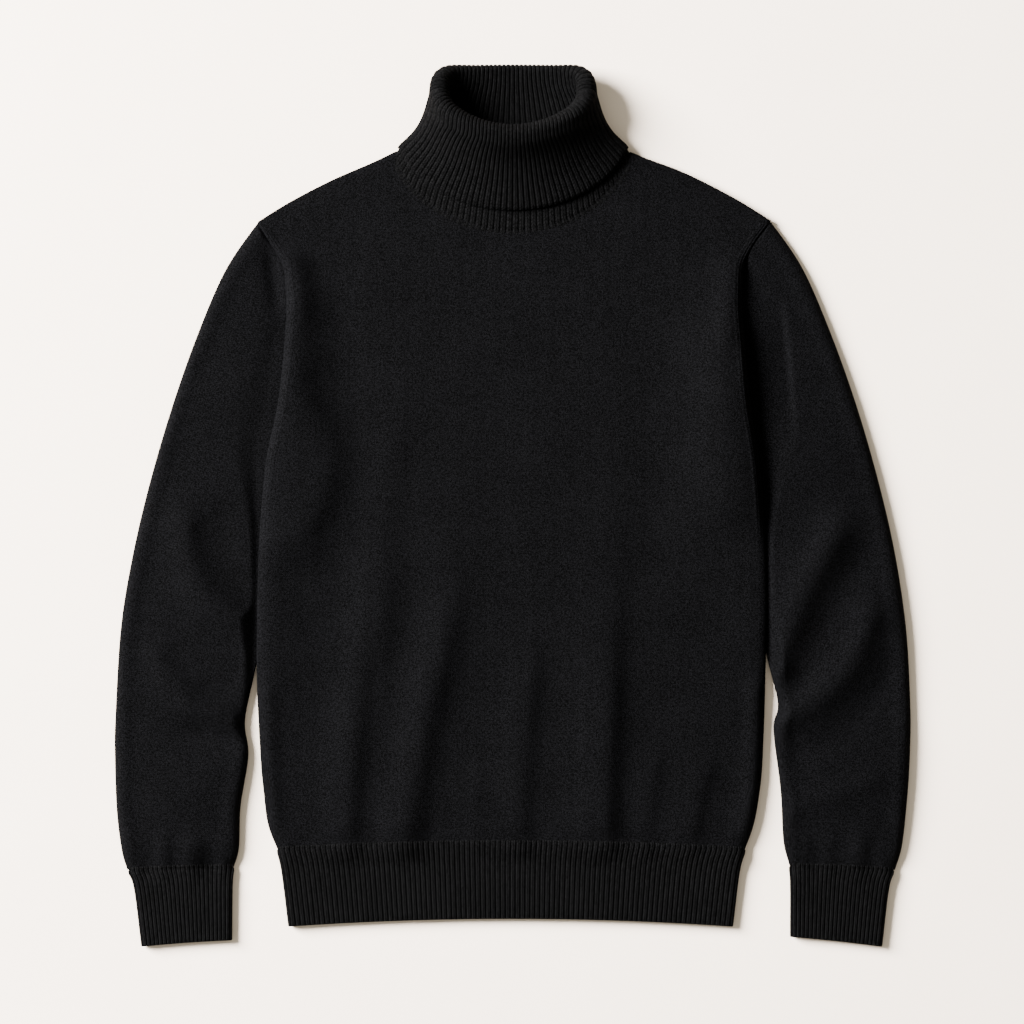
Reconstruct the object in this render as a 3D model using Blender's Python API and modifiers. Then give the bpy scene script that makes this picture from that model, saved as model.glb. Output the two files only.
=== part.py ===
"""Turtleneck sweater, laid flat on a table, as walls of knit cloth.

Metres, +Z up.  z = 0 is the table, and +Y runs from the hem to the collar.
Left and right are as seen from above, so the left sleeve is on the -X side.
Each piece that is knitted and linked on is one object:
front, back, sleeve_left, sleeve_right, cuff_left, cuff_right, hem and collar.
Tables are in millimetres, and each one's columns are named above it.
"""
import math

import bmesh
import bpy
import numpy as np

MM = 0.001

# ---------------------------------------------------------------- cloth
CLOTH = 2.6 * MM            # plain knit
RIB_WALL = 2.6 * MM         # ribbed knit, without its ridges
RIB_RAISE = 1.1 * MM        # how far a ridge stands up
SEAM_GAP = 0.4 * MM         # between two pieces that are linked together

# ---------------------------------------------------------------- body
BODY_HEIGHT = 8.8 * MM      # top of the front panel, where it lies slack
SIDE_ROLL = 13.0 * MM       # how far in the front's side edge rounds over
BACK_CURL = 8.0 * MM        # how far in the back's edge turns up
BACK_RIM = 3.4 * MM         # height of the back's edge where it meets the front's
SHOULDER_ROLL = 16.0 * MM   # how far below the shoulder seam the front rounds over
SHOULDER_SLOPE = 0.88       # cosine of the shoulder seam's slope
ROLL_TURNS = (0.0, 12.0, 45.0)      # degrees round a rolled edge at which the cloth is bent
HEM_LINE = -303.6 * MM      # where the body is linked to the hem, at its middle
HEM_LINE_DROP = 6.0 * MM    # how much lower that line is at the sides
HEM_SEAM_HEIGHT = 8.2 * MM  # of the front there
SEAM_PULL = 22.0 * MM       # how far above the hem the front is pulled down to it
FRONT_CROWN = 1.2 * MM      # how much higher the slack front is along its middle
HALF_BODY = 230.0 * MM
HALF_HEM = 212.0 * MM
SHOULDER_POINT = 252.0 * MM # where the shoulder seam meets the sleeve
COVER_START = -190.0 * MM   # the front's edge begins to lie over the sleeve here
COVER_FULL = -150.0 * MM    # and does so wholly from here up
BACK_RIM_RISE = 35.0 * MM   # over which the back's edge turns up again above the sleeve

# Columns of each panel that end at the shoulder, by inset, how many end at each half
# of the neckline, and the rows, from the hem up.
FRONT_INSETS = (13.0, 22.0, 32.0, 48.0, 66.0, 86.0, 106.0)
FRONT_NECK_STEPS = 12
FRONT_ROWS = (0.0, 0.012, 0.035, 0.1, 0.19, 0.28, 0.37, 0.46, 0.55, 0.64, 0.72,
              0.79, 0.85, 0.9, 0.945, 0.975, 1.0)
BACK_INSETS = (8.0, 48.0, 88.0)
BACK_NECK_STEPS = 5
BACK_ROWS = (0.0, 0.1, 0.25, 0.4, 0.55, 0.68, 0.78, 0.86, 0.92, 0.965, 1.0)

# Sides of the front, and how high its edge stands there, over the sleeve.
SIDE_COLUMNS = ("y", "left", "right", "rim")
SIDES = (
    (253.0, -229.0, 232.5, 6.1),
    (234.0, -217.0, 217.5, 7.4),
    (219.0, -208.0, 206.0, 8.2),
    (195.0, -204.0, 202.5, 8.2),
    (140.0, -205.5, 206.5, 8.2),
    (86.0, -212.0, 215.5, 8.2),
    (43.0, -221.0, 221.5, 8.2),
    (-6.0, -226.0, 226.0, 8.2),
    (-95.0, -229.5, 228.5, 8.2),
    (-148.0, -230.0, 227.5, 7.0),
    (-202.0, -228.0, 226.0, 6.1),
    (-256.0, -224.0, 222.5, 6.1),
    (-292.0, -218.5, 215.5, 6.1),
    (-310.0, -212.0, 209.5, 6.1),
)

# Shoulder seam, from the neck outwards.
SHOULDER_COLUMNS = ("x", "y")
SHOULDER = (
    (0.0, 372.0),
    (60.0, 341.0),
    (106.0, 317.5),
    (116.0, 312.5),
    (167.0, 289.8),
    (206.0, 269.0),
    (233.0, 252.0),
)

# How far the sleeve is tucked in under the front's edge, down to the underarm.
TUCK_COLUMNS = ("y", "tuck")
TUCK = (
    (60.0, 21.0),
    (86.0, 17.0),
    (140.0, 10.0),
    (195.0, 6.0),
    (215.0, 3.0),
    (232.0, -1.0),
    (256.0, -1.0),
)

# Soft ridges (lift > 0) and troughs (lift < 0) of the front, each along one line.
FOLD_COLUMNS = ("x0", "y0", "x1", "y1", "half_width", "lift")
FRONT_FOLDS = (
    (-160.0, 120.0, -152.0, 60.0, 16.0, -1.4),     # trough below the left armhole
    (-152.0, 60.0, -168.0, -50.0, 16.0, -1.8),
    (178.0, 205.0, 168.0, 80.0, 24.0, 2.2),        # swell of the right chest
    (-126.0, -60.0, -131.0, -300.0, 9.0, -3.2),    # folds that hang into the hem
    (-104.0, -40.0, -110.0, -296.0, 9.0, 2.2),
    (-72.0, -40.0, -82.0, -300.0, 10.0, -3.4),
    (-44.0, -40.0, -56.0, -296.0, 11.0, 2.2),
    (18.0, -110.0, 16.0, -300.0, 9.0, -2.8),
    (52.0, -70.0, 60.0, -296.0, 14.0, 2.2),
    (97.0, -30.0, 97.0, -300.0, 8.0, -3.4),
    (120.0, -120.0, 132.0, -296.0, 12.0, 1.6),
    (176.0, -240.0, 168.0, -296.0, 9.0, -1.8),
    (-168.0, -180.0, -176.0, -296.0, 12.0, 1.4),
)

# Along the sleeves the front's edge stands up as a soft roll, with a trough inside it.
EDGE_COLUMNS = ("inset", "reach", "lift", "y_low", "y_high", "fade")
EDGE_ROLL = (9.0, 21.0, 4.8, -165.0, 240.0, 70.0)
LEFT_TROUGH = (24.0, 8.0, -2.6, 150.0, 238.0, 30.0)
RIGHT_TROUGH = (30.0, 10.0, -1.2, 40.0, 225.0, 40.0)
FOLD_FADE = 38.0 * MM       # how far a fold runs out beyond its ends

# ---------------------------------------------------------------- sleeves
SLEEVE_EDGE = 3.7 * MM      # height of a sleeve's side edges
SLEEVE_FOOT = 6.0 * MM      # how far in from an edge the sleeve lies flat on the table
SLEEVE_CROWN = 2.4          # exponent of the sleeve's upper side, 2 is an ellipse
TUCK_CLEARANCE = 1.6 * MM   # between the front's edge and the sleeve below it
TUCK_MARGIN = 4.0 * MM      # how far outside that edge the sleeve stays pressed down
TUCK_SLOPE = 0.5            # how fast the sleeve rises again from there
TUCK_BEND = 0.4 * MM        # softness of that bend
SLEEVE_ROOM = 1.6 * MM      # from the sleeve to the back's edge beside it
SLEEVE_RINGS = 22
SLEEVE_ACROSS = 14          # faces across the upper side of a sleeve
ARMHOLE_STATIONS = 4.0      # over how many stations the armhole's curve straightens out
EDGE_TURN = math.radians(45.0)      # round a lower edge at which the cloth is bent

# Outer and inner side of each sleeve from the armhole to the cuff, and its height.
SLEEVE_COLUMNS = ("outer_x", "outer_y", "inner_x", "inner_y", "height")
SLEEVE_LEFT = (
    (-230.0, 252.0, -194.0, 66.0, 8.0),
    (-258.5, 210.0, -197.5, 45.0, 9.5),
    (-285.0, 148.5, -202.0, 13.5, 10.5),
    (-308.5, 81.0, -208.5, -22.5, 11.0),
    (-328.0, 13.5, -215.5, -63.0, 11.0),
    (-342.5, -49.5, -223.5, -103.5, 11.0),
    (-352.5, -112.5, -231.0, -146.5, 11.0),
    (-357.3, -193.5, -240.5, -193.5, 10.5),
    (-357.65, -227.0, -237.5, -225.0, 11.0),
    (-356.0, -274.5, -244.5, -271.0, 11.0),
    (-351.5, -310.5, -246.0, -308.0, 10.0),
    (-346.5, -328.0, -250.5, -325.2, 8.0),
)
SLEEVE_RIGHT = (
    (233.0, 252.0, 194.0, 66.0, 8.0),
    (261.5, 211.5, 197.0, 45.0, 9.5),
    (288.5, 148.5, 201.5, 13.5, 10.5),
    (312.0, 81.0, 208.5, -22.5, 11.0),
    (331.7, 11.0, 215.5, -63.0, 11.0),
    (345.2, -50.5, 222.5, -103.5, 11.0),
    (354.2, -114.0, 229.5, -139.5, 11.0),
    (357.5, -180.0, 240.0, -178.5, 10.5),
    (357.2, -216.0, 236.5, -202.0, 11.0),
    (355.0, -256.5, 242.0, -256.5, 11.0),
    (350.5, -305.0, 243.5, -301.5, 10.0),
    (344.0, -328.0, 249.0, -324.4, 8.0),
)
SLEEVE_LEFT_FOLDS = (
    (-278.0, -38.0, -244.0, -94.0, 13.0, -2.6),
    (-306.0, -130.0, -256.0, -166.0, 13.0, -2.2),
)
SLEEVE_RIGHT_FOLDS = (
    (310.0, -62.0, 256.0, -128.0, 13.0, -2.6),
    (322.0, -124.0, 256.0, -180.0, 13.0, -2.6),
    (312.0, -260.0, 262.0, -288.0, 12.0, -1.6),
)

# ---------------------------------------------------------------- ribbed tubes
HEM_RIBS = 88               # ridges across the front of the hem
CUFF_RIBS = 23              # ridges across the upper side of a cuff
BAND_ROUND = 4.5 * MM       # how far in a band's side edge rounds over
BAND_TURNS = 12             # points that its rounding is measured with

# Both ends of a band's row, how far its middle bows up, and the band's height.
BAND_COLUMNS = ("left_x", "left_y", "right_x", "right_y", "bow", "height")
HEM_ROWS = (
    (-211.5, -310.5, 209.0, -310.5, 6.0, 7.6),
    (-207.5, -330.0, 204.0, -330.0, 6.0, 7.6),
    (-201.5, -378.0, 198.0, -378.0, 7.0, 7.2),
)
CUFF_LEFT_ROWS = (
    (-345.8, -329.4, -250.3, -326.4, 1.0, 7.6),
    (-340.0, -345.0, -252.0, -342.0, 1.0, 7.6),
    (-333.5, -396.0, -252.5, -390.3, 0.6, 7.2),
)
CUFF_RIGHT_ROWS = (
    (248.6, -325.6, 343.3, -329.4, 1.0, 7.6),
    (249.8, -342.0, 338.0, -345.6, 1.0, 7.6),
    (249.8, -387.3, 332.0, -396.0, 0.6, 7.2),
)

# ---------------------------------------------------------------- collar
COLLAR_RIBS_FRONT = 46
COLLAR_RIBS_BACK = 32
COLLAR_LEAN = math.radians(16.0)    # how steeply the front of the neck rises

# Rings of the stand, by level from the neckline (0) to the top of the roll (1).
# front, side and back are where the ring passes there, and fold is the distance
# from the stand out to the turned-down layer.
COLLAR_COLUMNS = ("level", "half_width", "y_front", "y_side", "y_back",
                  "z_front", "z_side", "z_back", "fold")
COLLAR_RINGS = (
    (0.00, 104.5, 248.5, 316.0, 300.0, 7.7, 5.0, 1.4, 3.3),
    (0.20, 97.5, 268.5, 321.5, 316.0, 14.0, 8.5, 4.5, 3.3),
    (0.45, 83.5, 292.5, 336.0, 339.0, 21.0, 12.5, 5.4, 4.0),
    (0.72, 71.5, 315.0, 352.0, 366.0, 28.0, 16.5, 6.6, 6.4),
    (1.00, 61.5, 333.5, 368.0, 390.3, 34.0, 20.5, 8.2, 12.0),
)
TURN_DOWN_END = 0.20        # level at which the turned-down layer ends
BAND_TOP = 0.17             # level up to which the outside of the stand shows its ribs
BAND_FADE = 0.03            # and over how much of a level they end
BAND_RAISE = 0.9 * MM       # how far those ridges stand up

# Levels and turns at which the wall is bent, on the side that is seen and on the other.
SEEN_DOWN_LEVELS = (TURN_DOWN_END, 0.32, 0.45, 0.58, 0.72, 0.86, 1.0)
SEEN_ROLL_TURNS = (45.0, 90.0, 135.0)
SEEN_STAND_LEVELS = (1.0, 0.5, 0.0)
HIDDEN_DOWN_LEVELS = (TURN_DOWN_END, 0.6, 1.0)
HIDDEN_ROLL_TURNS = (90.0,)
HIDDEN_STAND_LEVELS = (1.0, 0.6, BAND_TOP + BAND_FADE, BAND_TOP, 0.0)
FRONT_SPACING_LEVEL = 0.5   # where the ridges of the front half are evenly spaced
BACK_SPACING_LEVEL = 0.9
PLAIN_BELOW = -0.7          # facing downwards more than this, the wall is plain
RIBBED_ABOVE = -0.3
BAND_FACING = 0.4           # facing upwards more than this, the neck band is fully ribbed
BACK_FOLD_SHARE = 0.55      # the fold is pressed closer at the back, on the table
FRONT_POINT = 1.25          # exponent of the ring's front in plan
BACK_SQUARE = 0.6           # exponent of the ring's back in plan
ARCH = 0.9                  # exponent of the ring's front in height
FLAT = 0.55                 # exponent of the ring's back in height

NECK_SEAM_ROOM = 1.2 * MM   # from the collar's middle line to the body at the front and back
NECK_SEAM_SIDE = 1.7 * MM   # and how much more at the sides, where the collar's wall stands up
ANGLE_STEP = 0.01           # radians, for the direction along a ring
RING_SAMPLES = 400          # for its length

# Colours, as linear red, green and blue.
KNIT_COLOUR = (0.0080, 0.0080, 0.0092, 1.0)
RIB_COLOUR = (0.0062, 0.0062, 0.0070, 1.0)


# ================================================================ helpers
def column(table, names, name):
    """One named column of a table in millimetres, in metres."""
    return np.array([row[names.index(name)] for row in table]) * MM


def smooth_at(place, places, values):
    """Smooth curve through rising places and their values, read at one or more places."""
    slopes = np.gradient(values, places)
    place = np.clip(place, places[0], places[-1])
    start = np.clip(np.searchsorted(places, place, side="right") - 1, 0, len(places) - 2)
    span = places[start + 1] - places[start]
    t = (place - places[start]) / span
    return ((2 * t**3 - 3 * t**2 + 1) * values[start]
            + (t**3 - 2 * t**2 + t) * span * slopes[start]
            + (3 * t**2 - 2 * t**3) * values[start + 1]
            + (t**3 - t**2) * span * slopes[start + 1])


def smooth_step(value, low, high):
    """0 below low, 1 above high and a soft rise between them."""
    t = np.clip((value - low) / (high - low), 0.0, 1.0)
    return t * t * (3.0 - 2.0 * t)


def quarter_round(distance, reach):
    """Height share of a rounded edge: 0 at the edge, 1 from reach inwards."""
    t = np.clip(distance / reach, 0.0, 1.0)
    return np.sqrt(1.0 - (1.0 - t)**2)


def soft_minimum(first, second, softness):
    """The lower of two heights, with a soft bend where they cross."""
    return -softness * np.logaddexp(-first / softness, -second / softness)


def fold_lift(x, y, folds):
    """Height that soft ridges and troughs add at plan points."""
    lift = np.zeros(np.shape(x))
    for row in folds:
        at = dict(zip(FOLD_COLUMNS, np.array(row) * MM))
        run_x, run_y = at["x1"] - at["x0"], at["y1"] - at["y0"]
        length = math.hypot(run_x, run_y)
        along = ((x - at["x0"]) * run_x + (y - at["y0"]) * run_y) / length
        beyond = np.maximum(np.maximum(-along, along - length), 0.0)
        aside = ((x - at["x0"]) * run_y - (y - at["y0"]) * run_x) / length
        fade = np.exp(-(beyond / FOLD_FADE)**2)
        lift += at["lift"] * fade * np.exp(-(aside / at["half_width"])**2)
    return lift


def even_angles(first, last, count, ring):
    """Angles that divide one stretch of a ring into equal lengths."""
    fine = np.linspace(first, last, RING_SAMPLES)
    steps = np.linalg.norm(np.diff(ring(fine), axis=0), axis=1)
    travelled = np.concatenate(([0.0], np.cumsum(steps)))
    return np.interp(np.linspace(0.0, travelled[-1], count + 1), travelled, fine)


# ================================================================ objects
def knit_material(name, colour):
    """Matt wool: no metal, high roughness."""
    material = bpy.data.materials.new(name)
    material.use_nodes = True
    shader = material.node_tree.nodes["Principled BSDF"]
    shader.inputs["Base Color"].default_value = colour
    shader.inputs["Metallic"].default_value = 0.0
    shader.inputs["Roughness"].default_value = 0.92
    return material


def lofted_mesh(name, rows, close_rows, close_columns):
    """Quads between rows of points.  A closed direction joins its last to its first."""
    rows = np.asarray(rows)
    n_rows, n_columns = rows.shape[:2]
    faces = []
    for r in range(n_rows if close_rows else n_rows - 1):
        for c in range(n_columns if close_columns else n_columns - 1):
            r2, c2 = (r + 1) % n_rows, (c + 1) % n_columns
            faces.append((r * n_columns + c, r * n_columns + c2,
                          r2 * n_columns + c2, r2 * n_columns + c))
    mesh = bpy.data.meshes.new(name)
    mesh.from_pydata(rows.reshape(-1, 3).tolist(), [], faces)
    return mesh


def add_object(name, mesh, colour, garment):
    """A smooth-shaded object with a material of its own."""
    mesh.shade_smooth()
    mesh.materials.append(knit_material(name + "_knit", colour))
    piece = bpy.data.objects.new(name, mesh)
    garment.objects.link(piece)
    return piece


def face_outwards(mesh):
    """Turn every face of a closed wall outwards."""
    shell = bmesh.new()
    shell.from_mesh(mesh)
    bmesh.ops.recalc_face_normals(shell, faces=shell.faces)
    shell.to_mesh(mesh)
    shell.free()


def add_wall(piece, thickness):
    """Give an open sheet its thickness, inwards from its outer side."""
    wall = piece.modifiers.new("cloth", "SOLIDIFY")
    wall.thickness = thickness
    wall.offset = -1.0
    wall.use_rim = True


# ================================================================ body
def side_at(y, name):
    """Left or right edge of the front, or its height there, at a distance along the body."""
    rising = SIDES[::-1]
    return smooth_at(y, column(rising, SIDE_COLUMNS, "y"), column(rising, SIDE_COLUMNS, name))


def tuck_at(y):
    """How far the sleeve reaches in under the front's edge, above the underarm."""
    return smooth_at(y, column(TUCK, TUCK_COLUMNS, "y"), column(TUCK, TUCK_COLUMNS, "tuck"))


def shoulder_at(x):
    """Where the shoulder seam, carried on to the middle, passes."""
    return smooth_at(np.abs(x), column(SHOULDER, SHOULDER_COLUMNS, "x"),
                     column(SHOULDER, SHOULDER_COLUMNS, "y"))


def hem_seam_at(x):
    """Where the body ends at the hem."""
    share = np.clip(np.abs(x) / HALF_HEM, 0.0, 1.0)
    return HEM_LINE - HEM_LINE_DROP * share**2


def neckline(angle, is_front):
    """Plan points of a panel's neck edge.  Angle 0 is its middle, 90 degrees the shoulder."""
    ring = stand_ring(angle if is_front else math.pi - angle, 0.0)
    room = NECK_SEAM_ROOM + NECK_SEAM_SIDE * np.sin(angle)**2
    return ring[:, 0] + room * np.sin(angle), ring[:, 1] - room * np.cos(angle)


def edge_lift(inset, y, sizes):
    """Ridge or trough that runs along a side edge, at a fixed distance inside it."""
    at = dict(zip(EDGE_COLUMNS, np.array(sizes) * MM))
    share = smooth_step(y, at["y_low"] - at["fade"], at["y_low"] + at["fade"])
    share = share * (1.0 - smooth_step(y, at["y_high"] - at["fade"] / 2.0, at["y_high"]))
    return at["lift"] * share * np.exp(-((inset - at["inset"]) / at["reach"])**2)


def front_height(x, y, inset):
    """Height of the front's upper side."""
    crown = FRONT_CROWN * np.cos(np.clip(x / HALF_BODY, -1.0, 1.0) * math.pi / 2.0)
    trough = np.where(x < 0.0, edge_lift(inset, y, LEFT_TROUGH),
                      edge_lift(inset, y, RIGHT_TROUGH))
    relief = BODY_HEIGHT + crown + fold_lift(x, y, FRONT_FOLDS)
    relief = relief + edge_lift(inset, y, EDGE_ROLL) + trough
    slack = smooth_step(y - hem_seam_at(x), 0.0, SEAM_PULL)
    relief = relief * slack + HEM_SEAM_HEIGHT * (1.0 - slack)
    rim = side_at(y, "rim")
    over_shoulder = quarter_round((shoulder_at(x) - y) * SHOULDER_SLOPE, SHOULDER_ROLL)
    return rim + (relief - rim) * quarter_round(inset, SIDE_ROLL) * over_shoulder


def back_height(x, y, inset):
    """Height of the back's underside: 0, and turned up where it meets the front."""
    flat_share = (quarter_round(inset, BACK_CURL)
                  * quarter_round((shoulder_at(x) - y) * SHOULDER_SLOPE, BACK_CURL))
    above_sleeve = smooth_step(y, SHOULDER_POINT, SHOULDER_POINT + BACK_RIM_RISE)
    beside_sleeve = smooth_step(y, COVER_START, COVER_FULL) * (1.0 - above_sleeve)
    return BACK_RIM * (1.0 - beside_sleeve) * (1.0 - flat_share)


def body_edge(y, side, is_front):
    """Side edge of a panel.  The back's is drawn in where the sleeve lies beside it."""
    edge = np.abs(side_at(y, "left" if side < 0.0 else "right"))
    if is_front:
        return edge
    rising = (SLEEVE_LEFT if side < 0.0 else SLEEVE_RIGHT)[::-1]
    inner_y = column(rising, SLEEVE_COLUMNS, "inner_y")
    inner_x = np.abs(column(rising, SLEEVE_COLUMNS, "inner_x"))
    sleeve_side = np.where(y > inner_y[-1], edge - tuck_at(y), smooth_at(y, inner_y, inner_x))
    return np.minimum(edge, sleeve_side - SLEEVE_ROOM)


def body_grid(is_front, roll, shoulder_insets, neck_steps, shares):
    """Plan grid of a body panel: x, y and the inset from the nearer side edge.

    The outer columns round the side over, the next ones end at the shoulder seam
    and those of the middle at the neckline.  The last rows round the shoulder over.
    """
    rolled = roll * (1.0 - np.cos(np.radians(ROLL_TURNS)))
    neck_x, neck_y = neckline(np.linspace(math.pi / 2.0, 0.0, neck_steps + 1), is_front)
    halves = []
    for side in (-1.0, 1.0):
        edge_top = body_edge(SHOULDER_POINT, side, is_front)
        insets = np.concatenate((rolled, np.array(shoulder_insets) * MM))
        top_x = np.concatenate((edge_top - insets, neck_x))
        top_y = np.concatenate((shoulder_at(edge_top - insets), neck_y))
        low_y = hem_seam_at(top_x) + SEAM_GAP
        main_top = top_y - roll / SHOULDER_SLOPE
        rows_y = [low_y + share * (main_top - low_y) for share in shares]
        rows_y += [top_y - step / SHOULDER_SLOPE for step in rolled[::-1]]
        half = []
        for y in rows_y:
            edge = body_edge(np.minimum(y, SHOULDER_POINT), side, is_front)
            narrowing = 1.0 - (edge - roll) / (edge_top - roll)
            share_out = np.minimum(top_x / (edge_top - roll), 1.0)
            x = np.where(top_x > edge_top - roll, edge - (edge_top - top_x),
                         top_x * (1.0 - narrowing * share_out**2))
            half.append((side * x, y, edge - x))
        halves.append(np.array(half).transpose(1, 0, 2))
    left, right = halves
    return np.concatenate((left, right[:, :, -2::-1]), axis=2)


def front_panel(garment):
    """Upper body panel: a sheet over the back, with rounded sides, shoulders and folds."""
    x, y, inset = body_grid(True, SIDE_ROLL, FRONT_INSETS, FRONT_NECK_STEPS, FRONT_ROWS)
    mesh = lofted_mesh("front", np.dstack((x, y, front_height(x, y, inset))), False, False)
    add_wall(add_object("front", mesh, KNIT_COLOUR, garment), CLOTH)


def back_panel(garment):
    """Lower body panel: flat on the table, its edges turned up to meet the front's."""
    x, y, inset = body_grid(False, BACK_CURL, BACK_INSETS, BACK_NECK_STEPS, BACK_ROWS)
    sheet = np.dstack((x, y, back_height(x, y, inset)))
    mesh = lofted_mesh("back", sheet[:, ::-1], False, False)
    add_wall(add_object("back", mesh, KNIT_COLOUR, garment), CLOTH)


# ================================================================ sleeves
def sleeve_lid(x, y, side):
    """Highest that a sleeve may reach where it lies under the front's edge."""
    outside = side * (x - side_at(y, "left" if side < 0.0 else "right"))
    rise = TUCK_SLOPE * np.maximum(outside - TUCK_MARGIN, 0.0)
    return side_at(y, "rim") - TUCK_CLEARANCE + rise


def sleeve_rows(table, side, folds):
    """Rings of a flattened tube from the armhole to the cuff."""
    stations = np.arange(len(table), dtype=float)
    read = {name: column(table, SLEEVE_COLUMNS, name) for name in SLEEVE_COLUMNS}
    across = (1.0 - np.cos(np.linspace(0.0, math.pi, SLEEVE_ACROSS + 1))) / 2.0
    low_edge = SLEEVE_EDGE * (1.0 - math.sin(EDGE_TURN))
    bottom = np.array((low_edge, 0.0, 0.0, 0.0, low_edge))
    rings = []
    for place in np.linspace(0.0, stations[-1], SLEEVE_RINGS):
        at = {name: smooth_at(place, stations, read[name]) for name in SLEEVE_COLUMNS}
        width = math.hypot(at["inner_x"] - at["outer_x"], at["inner_y"] - at["outer_y"])
        foot = SLEEVE_FOOT / width
        bend = foot * (1.0 - math.cos(EDGE_TURN))
        under = np.array((1.0 - bend, 1.0 - foot, 0.5, foot, bend))
        share = np.concatenate((across, under))
        x = at["outer_x"] + (at["inner_x"] - at["outer_x"]) * share
        y = at["outer_y"] + (at["inner_y"] - at["outer_y"]) * share
        curved = smooth_step(ARMHOLE_STATIONS - place, 0.0, ARMHOLE_STATIONS)
        x = x + armhole_bow(share, table, side) * curved
        crown = (1.0 - np.abs(2.0 * share - 1.0)**SLEEVE_CROWN)**(1.0 / SLEEVE_CROWN)
        top = SLEEVE_EDGE + (at["height"] - SLEEVE_EDGE) * crown
        top = top + fold_lift(x, y, folds) * crown**2
        covered = smooth_step(y, COVER_START, COVER_FULL)
        pressed = soft_minimum(top, sleeve_lid(x, y, side), TUCK_BEND)
        top = np.where(covered > 0.0, covered * pressed + (1.0 - covered) * top, top)
        height = np.concatenate((top[:SLEEVE_ACROSS + 1], bottom))
        rings.append(np.column_stack((x, y, height)))
    return np.array(rings)


def armhole_bow(share, table, side):
    """How far the armhole line, tucked in under the front, bows off its straight chord."""
    read = {name: column(table, SLEEVE_COLUMNS, name)[0] for name in SLEEVE_COLUMNS}
    y = read["outer_y"] + (read["inner_y"] - read["outer_y"]) * share
    chord = read["outer_x"] + (read["inner_x"] - read["outer_x"]) * share
    edge = side_at(y, "left" if side < 0.0 else "right")
    return (edge - side * tuck_at(y)) - chord


def sleeve(name, table, side, folds, garment):
    """A sleeve: an open tube of cloth, flat below and crowned above."""
    rings = sleeve_rows(table, side, folds)
    if side < 0.0:
        rings = rings[:, ::-1]
    mesh = lofted_mesh(name, rings, False, True)
    add_wall(add_object(name, mesh, KNIT_COLOUR, garment), CLOTH)


# ================================================================ ribbed bands
def band_section(width, height, n_ribs):
    """Section of a flattened tube: across, up and the outward normal of each point.

    Upper points are evenly spaced, two for each rib, and the underside is plain.
    """
    half = height / 2.0
    turn = np.linspace(0.0, math.pi / 2.0, BAND_TURNS)
    rise_across = BAND_ROUND * (1.0 - np.cos(turn))
    rise_up = half + half * np.sin(turn)
    fine_across = np.concatenate((rise_across, width - rise_across[::-1]))
    fine_up = np.concatenate((rise_up, rise_up[::-1]))
    travelled = np.concatenate(([0.0], np.cumsum(np.hypot(np.diff(fine_across),
                                                          np.diff(fine_up)))))
    wanted = np.linspace(0.0, travelled[-1], 2 * n_ribs + 1)
    across = np.interp(wanted, travelled, fine_across)
    up = np.interp(wanted, travelled, fine_up)
    bend = BAND_ROUND * (1.0 - math.cos(EDGE_TURN))
    low = half * (1.0 - math.sin(EDGE_TURN))
    across = np.concatenate((across, (width - bend, width - BAND_ROUND, width * 0.5,
                                      BAND_ROUND, bend)))
    up = np.concatenate((up, (low, 0.0, 0.0, 0.0, low)))
    run = np.roll(across, -1) - np.roll(across, 1)
    rise = np.roll(up, -1) - np.roll(up, 1)
    length = np.hypot(run, rise)
    return across, up, -rise / length, run / length


def ribbed_band(name, table, n_ribs, garment):
    """A ribbed tube: ridges along its upper side, a plain inside and a flat underside."""
    outer, inner = [], []
    for row in table:
        at = dict(zip(BAND_COLUMNS, np.array(row) * MM))
        left = np.array((at["left_x"], at["left_y"]))
        right = np.array((at["right_x"], at["right_y"]))
        width = np.linalg.norm(right - left)
        along = (right - left) / width
        across, up, normal_across, normal_up = band_section(width, at["height"], n_ribs)
        is_ridge = np.arange(len(across)) % 2 == 1
        is_ridge[2 * n_ribs + 1:] = False
        for loop, raised in ((outer, np.where(is_ridge, RIB_RAISE, 0.0)),
                             (inner, np.full(len(across), -RIB_WALL))):
            moved = across + raised * normal_across
            lift = up + raised * normal_up
            plan = left + moved[:, None] * along
            bow = at["bow"] * (1.0 - (2.0 * across / width - 1.0)**2)
            loop.append(np.column_stack((plan[:, 0], plan[:, 1] + bow, lift)))
    mesh = lofted_mesh(name, outer + [inner[-1], inner[0]], True, True)
    face_outwards(mesh)
    add_object(name, mesh, RIB_COLOUR, garment)


# ================================================================ collar
def ring_value(level, name):
    """One size of the stand's ring at a level, or at several levels."""
    levels = column(COLLAR_RINGS, COLLAR_COLUMNS, "level") / MM
    return smooth_at(level, levels, column(COLLAR_RINGS, COLLAR_COLUMNS, name))


def stand_ring(angle, level):
    """Points on the middle of the stand's wall.  Angle 0 is the front, 180 degrees the back."""
    size = {name: ring_value(level, name) for name in COLLAR_COLUMNS[1:]}
    cosine = np.cos(angle)
    ahead = np.maximum(cosine, 0.0)
    behind = np.maximum(-cosine, 0.0)
    x = size["half_width"] * np.sin(angle)
    y = (size["y_side"] + (size["y_front"] - size["y_side"]) * ahead**FRONT_POINT
         + (size["y_back"] - size["y_side"]) * behind**BACK_SQUARE)
    z = (size["z_side"] + (size["z_front"] - size["z_side"]) * ahead**ARCH
         + (size["z_back"] - size["z_side"]) * behind**FLAT)
    return np.column_stack((x, y, z))


def collar_frame(angle, level):
    """The stand's points at a level, its outward directions and the neck's directions."""
    points = stand_ring(angle, level)
    lean = COLLAR_LEAN * (1.0 + np.cos(angle)) / 2.0
    upwards = np.column_stack((np.zeros(len(angle)), np.cos(lean), np.sin(lean)))
    around = stand_ring(angle + ANGLE_STEP, level) - stand_ring(angle - ANGLE_STEP, level)
    outwards = np.cross(around, upwards)
    outwards /= np.linalg.norm(outwards, axis=1)[:, None]
    return points, outwards, upwards


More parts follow.
